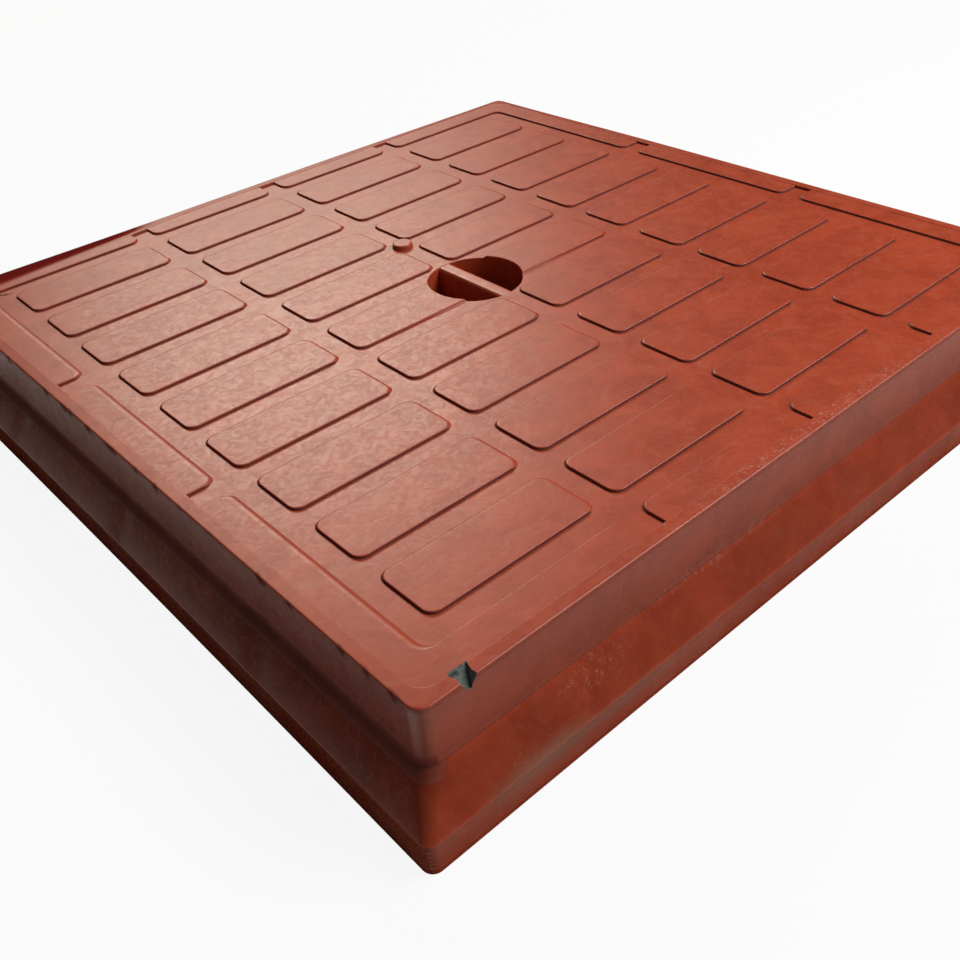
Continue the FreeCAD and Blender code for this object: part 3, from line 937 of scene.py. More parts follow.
@dataclass
class Shell:
    """The moulding without its tread, as one closed skin: plate, rim, wall, flare, lip, hollow, collar."""

    sizes: Sizes = SIZES
    side_steps: int = 120
    corner_steps: int = 10
    top_corner: float = 6.0
    base_corner: float = 4.5

    # Roundings and lines of the section
    plate_reach: float = 20.0
    collar_reach: float = 12.0
    rim_foot: float = 0.4
    rim_lean: Plan = (0.08, 0.15)
    crest_round: float = 0.35
    edge_round: float = 0.7
    edge_below: float = 6.0
    waist_round: float = 1.6
    # Painted shade on rings just above the waist: height above it and share
    above_waist_shade: tuple[Plan, ...] = ((6.0, 0.06), (3.0, 0.25))
    lip_round: float = 1.2
    foot_round: float = 0.8
    lip_hollow: float = 1.5
    waist_hollow: float = 4.0
    plate_hollow: float = 3.0
    collar_fillet: float = 1.5
    collar_round: float = 0.8
    hole_round: float = 0.4

    # Sink marks, sway and bow of the skirt
    sink_places: tuple[float, ...] = (-110.0, 0.0, 110.0)
    sink_width: float = 7.0
    sink_depth: float = 0.35
    sink_start: Plan = (1.0, 7.0)
    sink_end: float = 16.0
    sway: float = 0.25
    sway_size: float = 70.0
    sway_squash: float = 0.6
    sway_start: Plan = (1.0, 8.0)
    bow: float = 0.55

    # Ridges of the lip, and lines across the rim and the flare
    ridges: int = 6
    ridge_top: float = 13.2
    ridge_foot: float = 1.4
    ridge_depth: float = 0.22
    ridge_wear: float = 1.6
    ridge_shade: float = 0.10
    rim_lines: tuple[float, ...] = (1.0, 1.8, 2.6, 3.3, 4.0, 4.5, 4.9)
    flare_lines: tuple[float, ...] = (0.15, 0.25, 0.35, 0.6)

    # The curled left end and the sunken right end of the far rim, with painted shade in the curl's hollow
    rim_depth: float = 1.0
    warp_depth: float = 2.0
    wall_depth: float = 1.0
    curl_from: float = -195.0
    curl_to: float = -60.0
    curl_inside: float = 3.0
    curl_start: float = 1.0
    curl_lift: float = -4.0
    curl_ramp: float = 5.0
    curl_reach: float = 12.0
    curl_lean: float = 1.5
    curl_rise: float = 1.35
    curl_clear: float = 0.05
    curl_above: float = 0.5
    curl_shade: Plan = (0.0, 0.35)
    shade_across: Plan = (-0.10, 0.60)
    sag: float = 1.0
    sag_reach: float = 170.0

    # Painted shade at the left waist, darkening along the rim's far edges, and dirt specks along its left
    # edge
    left_waist_shade: float = 0.75
    waist_band: float = 4.0
    far_darkening: float = 0.6
    far_band: Plan = (0.90, 0.99)
    speck_dirt: float = 0.7
    speck_size: float = 7.0
    speck_span: Plan = (0.10, 0.40)
    speck_band: Plan = (0.70, 0.95)

    name: str = "shell"

    def corner_at(self, offset: float) -> float:
        """The plan radius of the corners at an offset from the wall."""
        return self.top_corner + (self.base_corner - self.top_corner) * offset / self.sizes.flare

    def plan(self, half: float, radius: float) -> list[Plan]:
        """Points round a square with rounded corners.

        Args:
            half: Half of its side.
            radius: Radius of its corners.

        Returns:
            The points, anticlockwise from the side at +X.
        """
        points: list[Plan] = []
        reach = half - radius
        for quarter in range(4):
            turn = Matrix.Rotation(math.pi / 2 * quarter, 2)
            for step in range(self.side_steps):
                share = 2.0 * step / self.side_steps - 1.0
                points.append(tuple(turn @ Vector((half, reach * share))))
            for step in range(self.corner_steps):
                angle = math.pi / 2 * step / self.corner_steps
                spot = Vector((reach + radius * math.cos(angle), reach + radius * math.sin(angle)))
                points.append(tuple(turn @ spot))
        return points

    def round_plan(self, radius: float) -> list[Plan]:
        """Points round a circle, one for each point of the square.

        Args:
            radius: The circle's radius.

        Returns:
            The points.
        """
        angles = (math.atan2(y, x) for x, y in self.plan(self.sizes.half, self.top_corner))
        return [(radius * math.cos(angle), radius * math.sin(angle)) for angle in angles]

    def square_section(self) -> list[Spot]:
        """The section from the plate's top, over the rim and the skirt, to the plate's underside.

        Returns:
            Points as an offset out from the wall and a level.
        """
        s = self.sizes
        inner = s.crest_half - s.half
        fall = (s.crest - s.rim_edge) / -inner
        return rounded_section([
            Turn(inner - self.plate_reach, s.floor),
            # Painted shade at the rim's foot and up its inner face
            Turn(inner, s.floor, self.rim_foot, 3, crevice=0.8),
            Turn(inner + self.rim_lean[0], (s.floor + s.crest) / 2, crevice=1.0),
            Turn(inner + self.rim_lean[1], s.crest, self.crest_round, 3, wear=1.0),
            *(Turn(inner + across, s.crest - across * fall) for across in self.rim_lines),
            Turn(0.0, s.rim_edge, self.edge_round, 4, wear=0.55),
            Turn(0.0, s.rim_edge - self.edge_below),
            Turn(0.0, (s.rim_edge + s.waist) / 2),
            # Painted shade at the waist and just above it
            *(Turn(0.0, s.waist + above, crevice=darkening) for above, darkening in self.above_waist_shade),
            Turn(0.0, s.waist, self.waist_round, 6, crevice=0.7),
            *(Turn(s.flare * share, s.waist + (s.lip - s.waist) * share) for share in self.flare_lines),
            Turn(s.flare, s.lip, self.lip_round, 4, wear=0.7),
            *self.lip_ridges(),
            Turn(s.flare, 0.0, self.foot_round, 3, wear=0.8),
            Turn(s.flare - s.wall, 0.0, self.foot_round, 3),
            Turn(s.flare - s.wall, s.lip, self.lip_hollow, 3),
            Turn(-s.wall, s.waist, self.waist_hollow, 4),
            Turn(-s.wall, s.under, self.plate_hollow, 4),
            Turn(-s.wall - self.plate_reach, s.under),
        ])

    def lip_ridges(self) -> list[Turn]:
        """The fine level ridges of the lip.

        Returns:
            Their crests and hollows, from the top down.
        """
        pitch = (self.ridge_top - self.ridge_foot) / self.ridges
        turns: list[Turn] = []
        crest, hollow = self.sizes.flare, self.sizes.flare - self.ridge_depth
        for number in range(self.ridges):
            level = self.ridge_top - pitch * number
            turns.append(Turn(crest, level, wear=self.ridge_wear))
            # Painted shade in the hollows between the ridges
            turns.append(Turn(hollow, level - pitch / 2, crevice=self.ridge_shade))
        return turns

    def round_section(self) -> list[Spot]:
        """The section of the collar, from the plate's underside to the plate's top.

        Returns:
            Points as a radius and a level.
        """
        s = self.sizes
        return rounded_section([
            Turn(s.collar + self.collar_reach, s.under),
            Turn(s.collar, s.under, self.collar_fillet, 3),
            Turn(s.collar, s.collar_foot, self.collar_round, 3),
            # Painted shade down inside the hole
            Turn(s.hole, s.collar_foot, self.collar_round, 3, crevice=0.6),
            Turn(s.hole, (s.collar_foot + s.floor) / 2, crevice=0.25),
            Turn(s.hole, s.floor, self.hole_round, 3, wear=0.5),
            Turn(s.hole + self.collar_reach, s.floor),
        ])

    def curl_at(self, x: float, y: float, start: float) -> float:
        """How far the rim is curled at a place: 1 at the left end of the far rim, 0 where it is plain.

        Args:
            x: Place along X.
            y: Place along Y.
            start: How far past the corner's diagonal the curl begins.

        Returns:
            The share of the full curl.
        """
        if max(abs(x), y) < self.sizes.crest_half - self.curl_inside:
            return 0.0
        ending = min(max((self.curl_to - x) / (self.curl_to - self.curl_from), 0.0), 1.0)
        return ending * smooth_step(start, start + self.curl_ramp, y - abs(x))

    def across_rim(self, x: float, y: float) -> float:
        """The share of the rim's width from its crest to a place."""
        crest, edge = self.sizes.crest_half, self.sizes.half
        return min(max((max(abs(x), abs(y)) - crest) / (edge - crest), 0.0), 1.0)

    def warp_rim(self, x: float, y: float, z: float) -> Point:
        """Moves a point of the rim: the far rim curls up at its left end and has sunk at its right end.

        Args:
            x: Place along X.
            y: Place along Y.
            z: Level.

        Returns:
            The moved point.
        """
        s = self.sizes
        across = self.across_rim(x, y)
        away = math.hypot(s.half - x, s.half - y)
        z -= self.sag * across * (1.0 - smooth_step(0.0, self.sag_reach, away))
        curl = self.curl_at(x, y, self.curl_start)
        lift = self.curl_at(x, y, self.curl_lift) * (1.0 - across) + curl * across
        y -= curl * (self.curl_reach * (1.0 - across) + self.curl_lean * across)
        if z > s.floor + self.curl_above:
            hollow = self.curl_rise * (1.0 - math.sqrt(1.0 - across * across))
            raised = s.height - self.curl_clear + hollow
            z += (raised - z) * lift
        return x, y, z

    def rim_shade(self, x: float, y: float, z: float) -> float:
        """How far painted shade darkens the hollow of the curled rim.

        Args:
            x: Place along X.
            y: Place along Y.
            z: Level.

        Returns:
            A share from 0 to 1.
        """
        if z < self.sizes.rim_edge - self.rim_depth:
            return 0.0
        curl = self.curl_at(x, y, self.curl_start)
        return smooth_step(*self.curl_shade, curl) * smooth_step(*self.shade_across, self.across_rim(x, y))

    def rim_darkening(self, x: float, y: float, z: float) -> float:
        """Darkening along the rim's far edges, painted shade at the left waist, and dirt in specks at the
        rim's left edge.

        Args:
            x: Place along X.
            y: Place along Y.
            z: Level.

        Returns:
            A share from 0 to 1.
        """
        s = self.sizes
        if z < s.rim_edge - self.rim_depth:
            return self.left_waist_shade * bell(z - s.waist, self.waist_band) if x < -s.crest_half else 0.0
        across = self.across_rim(x, y)
        at_far_edge = max(x, y) > s.crest_half
        far_edge = self.far_darkening * smooth_step(*self.far_band, across) if at_far_edge else 0.0
        if x > -s.crest_half:
            return far_edge
        specks = smooth_step(*self.speck_span, noise.noise(Vector((x, y, 0.0)) / self.speck_size))
        return max(far_edge, self.speck_dirt * specks * smooth_step(*self.speck_band, across))

    def settle(self, x: float, y: float, z: float) -> Point:
        """Moves a point of the skirt as the moulding has sunk and swayed.

        Args:
            x: Place along X.
            y: Place along Y.
            z: Level.

        Returns:
            The moved point.
        """
        s = self.sizes
        if z > s.rim_edge - self.warp_depth:
            return self.warp_rim(x, y, z)
        along, out = (y, abs(x)) if abs(x) > abs(y) else (x, abs(y))
        if out < s.half - self.wall_depth:
            return x, y, z
        window = smooth_step(s.lip + self.sink_start[0], s.lip + self.sink_start[1], z)
        window *= 1.0 - smooth_step(s.waist, s.waist + self.sink_end, z)
        sinks = sum(bell(along - place, self.sink_width) for place in self.sink_places)
        drift = noise.noise(Vector((x, y, z * self.sway_squash)) / self.sway_size)
        inward = sinks * self.sink_depth * window
        inward += self.sway * (0.5 + 0.5 * drift) * smooth_step(*self.sway_start, z)
        inward += self.bow * max(1.0 - (along / s.half) ** 2, 0.0) * (1.0 - smooth_step(s.lip, s.waist, z))
        factor = 1.0 - inward / out
        if abs(x) > abs(y):
            return x * factor, y, z
        return x, y * factor, z

    def build(self) -> bpy.types.Object:
        """Makes the closed skin.

        Returns:
            The object.
        """
        maker = MeshMaker(self.name)
        rings = []
        for spot in self.square_section():
            plan = self.plan(self.sizes.half + spot.across, self.corner_at(spot.across))
            # Painted shade and dirt specks for each point, and painted shade in the curl's hollow
            darkening = [max(spot.crevice, self.rim_darkening(x, y, spot.up)) for x, y in plan]
            shade = [self.rim_shade(x, y, spot.up) for x, y in plan]
            rings.append(maker.ring([self.settle(x, y, spot.up) for x, y in plan], spot.wear, darkening, shade))
        for spot in self.round_section():
            plan = self.round_plan(spot.across)
            rings.append(maker.ring([(x, y, spot.up) for x, y in plan], spot.wear, spot.crevice))
        for index, ring in enumerate(rings):
            maker.bridge(ring, rings[(index + 1) % len(rings)])
        return maker.finish([TERRACOTTA, BROKEN])


@dataclass
class Tread:
    """The raised bricks, border bars and nub."""

    sizes: Sizes = SIZES
    sunk: float = 0.6
    foot: float = 0.25
    draft: float = 0.30
    edge: float = 0.55
    edge_draft: float = 0.21
    edge_round: float = 0.44
    brick_lean: Plan = (1.5, 1.2)
    bar_lean: Plan = (2.8, 0.5)
    bar_lap: float = 1.0
    # Least share of painted shade on the shoulders that face +X and +Y, for bricks and for bars
    brick_far_shade: float = 0.12
    bar_far_shade: float = 0.32
    cap_inset: float = 1.5
    nub_row: float = 1.5
    nub_radius: float = 5.7
    nub_height: float = 2.6
    nub_foot: float = 0.1
    nub_draft: float = 0.5
    nub_round: float = 0.8
    nub_cap: float = 3.0
    nub_rise: float = 0.3
    nub_steps: int = 10

    def section(self, top: float) -> list[Spot]:
        """The side of a raised block, from below the plate's top to its own top.

        Args:
            top: Level of the block's top.

        Returns:
            Insets and levels, from the lowest up.
        """
        floor = self.sizes.floor
        return rounded_section([
            Turn(-self.foot, floor - self.sunk),
            # Painted shade at the foot and up the sides, where they face -X and -Y
            Turn(-self.foot, floor, crevice=0.8),
            Turn(0.0, floor + self.foot, crevice=1.15),
            Turn(self.edge_draft, top - self.edge, crevice=1.1),
            Turn(self.draft, top, self.edge_round, 6, wear=0.2),
            Turn(self.draft + self.cap_inset, top),
        ])

    def bricks(self) -> bpy.types.Object:
        """Makes the field of bricks.

        Returns:
            The object.
        """
        s = self.sizes
        maker = MeshMaker("tread_bricks")
        for column in range(s.columns):
            for row in range(s.rows):
                low = (column * s.pitch[0] - s.field[0], row * s.pitch[1] - s.field[1])
                high = (low[0] + s.brick[0], low[1] + s.brick[1])
                outline = Outline.box(low, high, s.corner)
                maker.block(outline, self.section(s.height), self.brick_lean, self.brick_far_shade)
        return maker.finish([TERRACOTTA])

    def bars(self) -> bpy.types.Object:
        """Makes the corner pieces, half bricks and long bars beside the rim.

        Returns:
            The object.
        """
        s = self.sizes
        maker = MeshMaker("border_bars")
        out = s.crest_half + self.bar_lap
        bar_x, bar_y = s.field[0] + s.channel, s.field[1] + s.channel
        length = s.bar_rows * s.pitch[1] - s.channel
        end_x, end_y = s.brick[0] - s.field[0], length - s.field[1]
        corner = Outline((
            Turn(-out, -out, s.corner + self.bar_lap, 6),
            Turn(end_x, -out),
            Turn(end_x, -bar_y, s.corner, 6),
            Turn(-bar_x, -bar_y, s.corner, 6),
            Turn(-bar_x, end_y, s.corner, 6),
            Turn(-out, end_y),
        ))
        outlines = [corner, corner.mirrored(Way.ALONG), corner.mirrored(Way.ACROSS)]
        outlines.append(corner.mirrored(Way.ALONG).mirrored(Way.ACROSS))
        for column in range(1, s.columns - 1):
            left = column * s.pitch[0] - s.field[0]
            half = Outline((
                Turn(left, -out),
                Turn(left + s.brick[0], -out),
                Turn(left + s.brick[0], -bar_y, s.corner, 6),
                Turn(left, -bar_y, s.corner, 6),
            ))
            outlines += [half, half.mirrored(Way.ACROSS)]
        start = end_y + s.channel
        side = Outline((
            Turn(-out, start),
            Turn(-bar_x, start, s.corner, 6),
            Turn(-bar_x, start + length, s.corner, 6),
            Turn(-out, start + length),
        ))
        outlines += [side, side.mirrored(Way.ALONG)]
        for outline in outlines:
            maker.block(outline, self.section(s.height), self.bar_lean, self.bar_far_shade)
        return maker.finish([TERRACOTTA, BROKEN])

    def nub(self) -> bpy.types.Object:
        """Makes the round nub in the middle channel.

        Returns:
            The object.
        """
        s = self.sizes
        maker = MeshMaker("nub")
        middle, radius, top = self.nub_row * s.pitch[1], self.nub_radius, s.floor + self.nub_height
        outline = Outline.box((-radius, middle - radius), (radius, middle + radius), radius, self.nub_steps)
        maker.block(outline, rounded_section([
            Turn(-self.nub_foot, s.floor - self.sunk),
            # Painted shade at the nub's foot
            Turn(-self.nub_foot, s.floor, crevice=0.6),
            Turn(self.nub_foot, s.floor + self.nub_rise, crevice=0.5),
            Turn(self.nub_draft, top, self.nub_round, 5, wear=0.5),
            Turn(self.nub_cap, top),
        ]))
        return maker.finish([TERRACOTTA])


@dataclass
class Underside:
    """The grip bar across the lifting hole, the two crossing ribs and the gussets behind the skirt."""

    sizes: Sizes = SIZES
    bar_half: float = 4.25
    bar_top: float = 59.7
    bar_foot: float = 43.7
    bar_round: float = 1.8
    bar_caps: Plan = (2.0, 3.0)
    rib_half: float = 4.0
    rib_foot: float = 34.0
    rib_cap: float = 1.5
    gusset_half: float = 3.0
    gusset_reach: float = 32.0
    gusset_places: tuple[float, ...] = (-110.0, 110.0)
    sunk: float = 2.0
    edge: float = 0.8

    def grip_bar(self) -> bpy.types.Object:
        """Makes the bar that splits the lifting hole.

        Returns:
            The object.
        """
        reach = (self.sizes.hole + self.sizes.collar) / 2
        maker = MeshMaker("grip_bar")
        outline = Outline.box((-self.bar_half, -reach), (self.bar_half, reach), 0.0, 1)
        maker.block(outline, rounded_section([
            Turn(self.bar_caps[0], self.bar_foot),
            Turn(0.0, self.bar_foot, self.edge, 3),
            Turn(0.0, self.bar_top, self.bar_round, 6, wear=0.4),
            Turn(self.bar_caps[1], self.bar_top),
        ]))
        return maker.finish([TERRACOTTA])

    def ribs(self) -> bpy.types.Object:
        """Makes the two ribs that run from the collar to the skirt.

        Returns:
            The object.
        """
        s = self.sizes
        maker = MeshMaker("ribs")
        start, end = s.collar - self.sunk, s.half - s.wall + self.sunk
        half = self.rib_half
        plans = (
            ((start, -half), (end, half)),
            ((-end, -half), (-start, half)),
            ((-half, start), (half, end)),
            ((-half, -end), (half, -start)),
        )
        for low, high in plans:
            maker.block(Outline.box(low, high, 0.0, 1), rounded_section([
                Turn(self.rib_cap, self.rib_foot),
                Turn(0.0, self.rib_foot, self.edge, 3),
                Turn(0.0, s.under + self.sunk),
            ]))
        return maker.finish([TERRACOTTA])

    def gussets(self) -> bpy.types.Object:
        """Makes the three-cornered gussets behind each side of the skirt.

        Returns:
            The object.
        """
        s = self.sizes
        maker = MeshMaker("gussets")
        middle = s.half - s.wall / 2
        plan = (
            (middle + s.flare, s.lip),
            (middle, s.waist),
            (middle, s.under + self.sunk),
            (middle - self.gusset_reach, s.under + self.sunk),
            (middle - self.gusset_reach, s.under),
        )
        for place in (*self.gusset_places, 0.0):
            for sign in (1.0, -1.0):
                maker.prism(plan, lambda a, b, c: (a * sign, c + place, b), self.gusset_half)
                maker.prism(plan, lambda a, b, c: (c + place, a * sign, b), self.gusset_half)
        return maker.finish([TERRACOTTA])


@dataclass
class Chip:
    """The piece broken out of the near rim, as a rough cutter."""

    middle: float = -184.0
    inner: float = -197.7
    outer: float = -206.5
    mouth: float = 4.25
    neck: float = 3.0
    skew: float = 0.3
    top: float = 63.5
    level: float = 61.5
    foot: float = 56.4
    slope: float = 0.50
    lean: float = 1.2
    layers: int = 8
    ragged: float = 0.35
    ragged_up: float = 0.6
    grain: Point = (0.9, 0.9, 1.3)

    def cutter(self) -> bpy.types.Object:
        """Makes the cutter, with torn sides.

        Returns:
            The object, which is not part of the cover.
        """
        maker = MeshMaker("chip_cutter")
        rings = []
        for layer in range(self.layers + 1):
            z = self.top + (self.foot - self.top) * layer / self.layers
            above = z - self.level
            mouth, neck = self.mouth + above * self.slope, self.neck + above * self.slope
            inner = self.inner + above * self.lean
            waist = (inner + self.outer) / 2
            between = (mouth + neck) / 2
            plan = [
                (self.middle - mouth - self.skew, self.outer),
                (self.middle, self.outer),
                (self.middle + mouth - self.skew, self.outer),
                (self.middle + between, (self.outer + waist) / 2),
                (self.middle + neck, waist),
                (self.middle + between, (inner + waist) / 2),
                (self.middle + mouth + self.skew, inner),
                (self.middle, inner),
                (self.middle - mouth + self.skew, inner),
                (self.middle - between, (inner + waist) / 2),
                (self.middle - neck, waist),
                (self.middle - between, (self.outer + waist) / 2),
            ]
            rings.append(maker.ring([self.torn(x, y, z) for x, y in plan]))
        for high, low in zip(rings, rings[1:]):
            maker.bridge(low, high)
        maker.cap(rings[0])
        maker.cap(rings[-1][::-1])
        cutter = maker.finish([TERRACOTTA, BROKEN])
        cutter.modifiers.clear()
        cutter.data.polygons.foreach_set("material_index", [1] * len(cutter.data.polygons))
        cutter.data.shade_flat()
        return cutter

    def torn(self, x: float, y: float, z: float) -> Point:
        """Moves a point of the cutter at random, the same way each run.

        Args:
            x: Place along X.
            y: Place along Y.
            z: Level.

        Returns:
            The moved point.
        """
        spot = Vector((x * self.grain[0], y * self.grain[1], z * self.grain[2]))
        shake = noise.noise_vector(spot) * self.ragged
        return x + shake.x, y + shake.y, z + shake.z * self.ragged_up


@dataclass
class LiftingHole:
    """The round hole that also cuts the ends of the bricks beside it."""

    sizes: Sizes = SIZES
    steps: int = 24
    edge: float = 0.3
    clear: float = 3.0

    def cutter(self) -> bpy.types.Object:
        """Makes the round cutter.

        Returns:
            The object, which is not part of the cover.
        """
        s = self.sizes
        maker = MeshMaker("hole_cutter")
        outline = Outline.box((-s.hole, -s.hole), (s.hole, s.hole), s.hole, self.steps)
        maker.block(outline, [
            Spot(0.0, s.floor - self.clear),
            Spot(0.0, s.height - self.edge),
            Spot(-self.edge, s.height),
            Spot(-self.edge, s.height + self.clear),
        ])
        cutter = maker.finish([TERRACOTTA])
        cutter.modifiers.clear()
        return cutter


def cut_out(cutter: bpy.types.Object, pieces: Sequence[bpy.types.Object]) -> None:
    """Takes a cutter's shape out of some pieces and removes the cutter.

    Args:
        cutter: The shape to take away.
        pieces: The closed meshes that lose it.
    """
    for piece in pieces:
        take_away(piece, cutter)
    mesh = cutter.data
    bpy.data.objects.remove(cutter)
    bpy.data.meshes.remove(mesh)


def take_away(piece: bpy.types.Object, cutter: bpy.types.Object) -> None:
    """Cuts one closed mesh out of another and keeps the result as the piece's own mesh.

    Args:
        piece: The mesh that is cut.
        cutter: The mesh that is taken away.
    """
    cut = piece.modifiers.new("broken_out", "BOOLEAN")
    cut.operation = "DIFFERENCE"
    cut.solver = "EXACT"
    cut.object = cutter
    piece.modifiers.move(len(piece.modifiers) - 1, 0)
    later = [modifier for modifier in piece.modifiers if modifier.name != cut.name]
    for modifier in later:
        modifier.show_viewport = False
    bpy.context.view_layer.update()
    made = piece.evaluated_get(bpy.context.evaluated_depsgraph_get())
    whole = bpy.data.meshes.new_from_object(made)
    old = piece.data
    piece.modifiers.remove(cut)
    piece.data = whole
    whole.name = piece.name
    soften(whole)
    bpy.data.meshes.remove(old)
    for modifier in later:
        modifier.show_viewport = True


@dataclass(frozen=True)
class Lamp:
    """One soft lamp.

    Args:
        name: Its name.
        place: Where it stands, in metres.
        aim: The point that it faces.
        size: Its width and height, in metres.
        power: Its power in watts.
        colour: Its colour.
    """

    name: str
    place: Point
    aim: Point
    size: Plan
    power: float
    colour: Colour = (1.0, 1.0, 1.0)

    def build(self) -> None:
        """Puts the lamp in the scene, out of the camera's sight."""
        data = bpy.data.lights.new(self.name, "AREA")
        data.shape = "RECTANGLE"
        data.size, data.size_y = self.size
        data.energy = self.power
        data.color = self.colour
        lamp = bpy.data.objects.new(self.name, data)
        lamp.location = self.place
        way = Vector(self.aim) - Vector(self.place)
        lamp.rotation_euler = way.to_track_quat("-Z", "Y").to_euler()
        lamp.visible_camera = False
        bpy.context.scene.collection.objects.link(lamp)


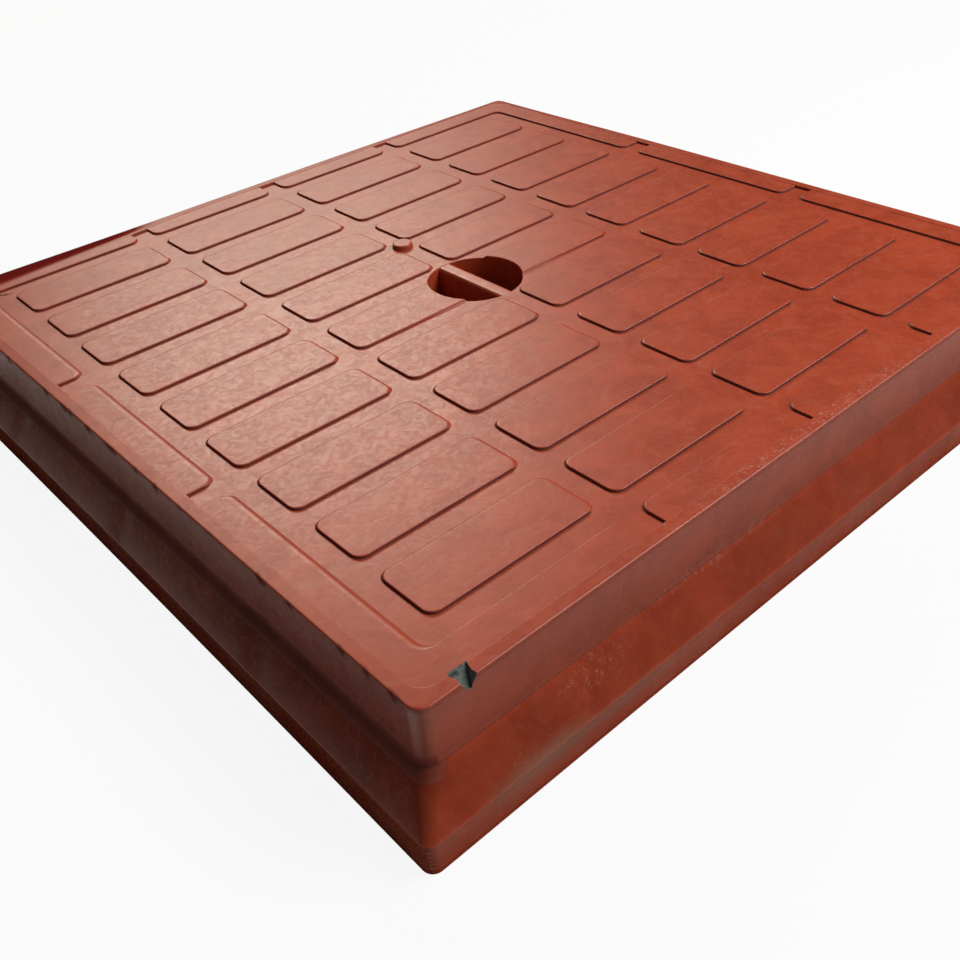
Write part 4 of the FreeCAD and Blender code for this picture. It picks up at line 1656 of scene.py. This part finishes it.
@dataclass
class Studio:
    """The camera, the lamps, the white surroundings and the pale floor."""

    camera_place: Point = (-0.31732, -0.38352, 0.30373)
    camera_right: Point = (0.74348, -0.66525, -0.06835)
    camera_down: Point = (-0.44148, -0.41147, -0.79736)
    camera_ahead: Point = (0.50232, 0.62300, -0.59962)
    sensor: float = 36.0
    lens: float = 39.693
    near_clip: float = 0.01

    # Light of the surroundings
    ambient: float = 0.11
    ambient_sheen: float = 0.018

    # The floor, with places in metres; for bounced light it carries a painted pool of light, and in
    # reflections a painted glow
    floor_bounce: float = 0.52
    floor_sheen: float = 0.95
    floor_glow: float = 0.20
    floor_foot: float = 0.90
    floor_ring: Plan = (0.213, 0.255)
    floor_fade: Plan = (0.31, 0.42)
    gleam_rise: Plan = (0.222, 0.262)
    gleam_front: Plan = (-0.224, -0.2155)
    front_share: float = 0.25
    gleam_fall: Plan = (0.262, 0.290)
    glow_rise: Plan = (-0.60, -0.35)
    floor_far: float = 0.04
    floor_colour: Colour = (0.80, 0.80, 0.80)
    floor_white: float = 0.90
    gleam: Colour = (1.0, 0.92, 0.84)
    floor_half: float = 6.0
    lamps: tuple[Lamp, ...] = (
        Lamp("window", (1.10, 2.22, 1.64), (-0.15, -0.02, 0.06), (1.30, 0.70), 34.5, (1.0, 0.95, 0.80)),
        Lamp("key", (0.62, -0.66, 1.02), (0.0, 0.0, 0.05), (0.8, 0.8), 16.0),
    )

    def build(self) -> None:
        """Sets up the whole studio."""
        scene = bpy.context.scene
        scene.view_settings.view_transform = "Standard"
        self.camera()
        self.world()
        self.floor()
        for lamp in self.lamps:
            lamp.build()

    def camera(self) -> None:
        """Sets the camera at the photograph's place."""
        data = bpy.data.cameras.new("camera")
        data.sensor_width = self.sensor
        data.sensor_fit = "HORIZONTAL"
        data.lens = self.lens
        data.clip_start = self.near_clip
        camera = bpy.data.objects.new("camera", data)
        axes = (Vector(self.camera_right), -Vector(self.camera_down), -Vector(self.camera_ahead))
        turn = Matrix([[axis[row] for axis in axes] for row in range(3)])
        camera.matrix_world = Matrix.Translation(self.camera_place) @ turn.to_4x4()
        bpy.context.scene.collection.objects.link(camera)
        bpy.context.scene.camera = camera

    def world(self) -> None:
        """Makes the surroundings: white to the eye, dim in reflections, and a plain level of light."""
        world = bpy.data.worlds.new("surroundings")
        bpy.context.scene.world = world
        world.use_nodes = True
        tree = world.node_tree
        tree.nodes.clear()
        path = tree.nodes.new("ShaderNodeLightPath")
        mirrored = tree.nodes.new("ShaderNodeMapRange")
        mirrored.inputs["To Min"].default_value = self.ambient
        mirrored.inputs["To Max"].default_value = self.ambient_sheen
        tree.links.new(path.outputs["Is Glossy Ray"], mirrored.inputs["Value"])
        seen = tree.nodes.new("ShaderNodeMapRange")
        seen.inputs["To Max"].default_value = 1.0
        tree.links.new(path.outputs["Is Camera Ray"], seen.inputs["Value"])
        tree.links.new(mirrored.outputs[0], seen.inputs["To Min"])
        glow = tree.nodes.new("ShaderNodeBackground")
        glow.inputs["Color"].default_value = (1.0, 1.0, 1.0, 1.0)
        tree.links.new(seen.outputs[0], glow.inputs["Strength"])
        tree.links.new(glow.outputs[0], tree.nodes.new("ShaderNodeOutputWorld").inputs[0])

    def floor(self) -> None:
        """Makes the pale floor, which keeps the cover's shadow, with a painted pool of light for bounced
        light and a painted glow that only reflections see.
        """
        half = self.floor_half
        mesh = bpy.data.meshes.new("floor")
        corners = [(-half, -half, 0.0), (half, -half, 0.0), (half, half, 0.0), (-half, half, 0.0)]
        mesh.from_pydata(corners, [], [(0, 1, 2, 3)])
        material = bpy.data.materials.new("pale_floor")
        graph = Graph(material)
        path = graph.node("LightPath")
        seen, mirrored = path.outputs["Is Camera Ray"], path.outputs["Is Glossy Ray"]
        place = graph.node("SeparateXYZ", {0: graph.place()})
        sides = (graph.math("ABSOLUTE", place.outputs[axis]) for axis in ("X", "Y"))
        reach = graph.math("MAXIMUM", *sides)
        # Painted light for bounced rays: a pool of light round the cover, a little darker at its foot and
        # dim further out
        lit = graph.times(graph.span(reach, *self.floor_ring, self.floor_foot, 1.0),
                          graph.span(reach, *self.floor_fade, 1.0, self.floor_far))
        bounce = graph.mix(lit, (0.0, 0.0, 0.0), (self.floor_bounce,) * 3)
        shade = graph.mix(seen, bounce, self.floor_colour)
        matt = graph.node("BsdfDiffuse", {"Color": graph.mix(mirrored, shade, (0.0, 0.0, 0.0))})
        # Painted reflection: a glowing ring near the cover's foot, from the foot itself at the front, and a
        # glow further in front, seen only by reflections
        open_front = graph.span(place.outputs["Y"], *self.gleam_front, self.front_share, 0.0)
        near = graph.math("MAXIMUM", graph.span(reach, *self.gleam_rise), open_front)
        near = graph.times(near, graph.span(reach, *self.gleam_fall, 1.0, 0.0))
        front = graph.times(graph.span(place.outputs["Y"], *self.glow_rise, 1.0, 0.0), self.floor_glow)
        sheen = graph.math("MAXIMUM", graph.times(near, self.floor_sheen), front)
        gleam = graph.node("Emission", {"Color": self.gleam, "Strength": graph.times(sheen, mirrored)})
        paint = graph.node("AddShader", {0: matt.outputs[0], 1: gleam.outputs[0]})
        white = graph.node("Emission", {"Color": (1.0, 1.0, 1.0), "Strength": 1.0})
        share = graph.times(seen, self.floor_white)
        blend = graph.node("MixShader", {0: share, 1: paint.outputs[0], 2: white.outputs[0]})
        graph.tree.links.new(blend.outputs[0], graph.node("OutputMaterial").inputs[0])
        mesh.materials.append(material)
        floor = bpy.data.objects.new("floor", mesh)
        bpy.context.scene.collection.objects.link(floor)


def main() -> None:
    """Builds the cover's pieces in order, breaks the chip out, and sets up the studio."""
    logging.basicConfig(level=logging.INFO, format="%(name)s: %(message)s")
    noise.seed_set(NOISE_SEED)
    shell = Shell().build()
    tread = Tread()
    under = Underside()
    bricks, bars = tread.bricks(), tread.bars()
    pieces = [shell, bricks, bars, tread.nub(), under.grip_bar(), under.ribs(), under.gussets()]
    cut_out(LiftingHole().cutter(), [bricks])
    cut_out(Chip().cutter(), [shell, bars])
    for piece in pieces:
        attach(piece, BODY)
        LOG.info("%s: %d faces", piece.name, len(piece.data.polygons))
    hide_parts(NODE)
    Studio().build()


if __name__ == "__main__":
    main()
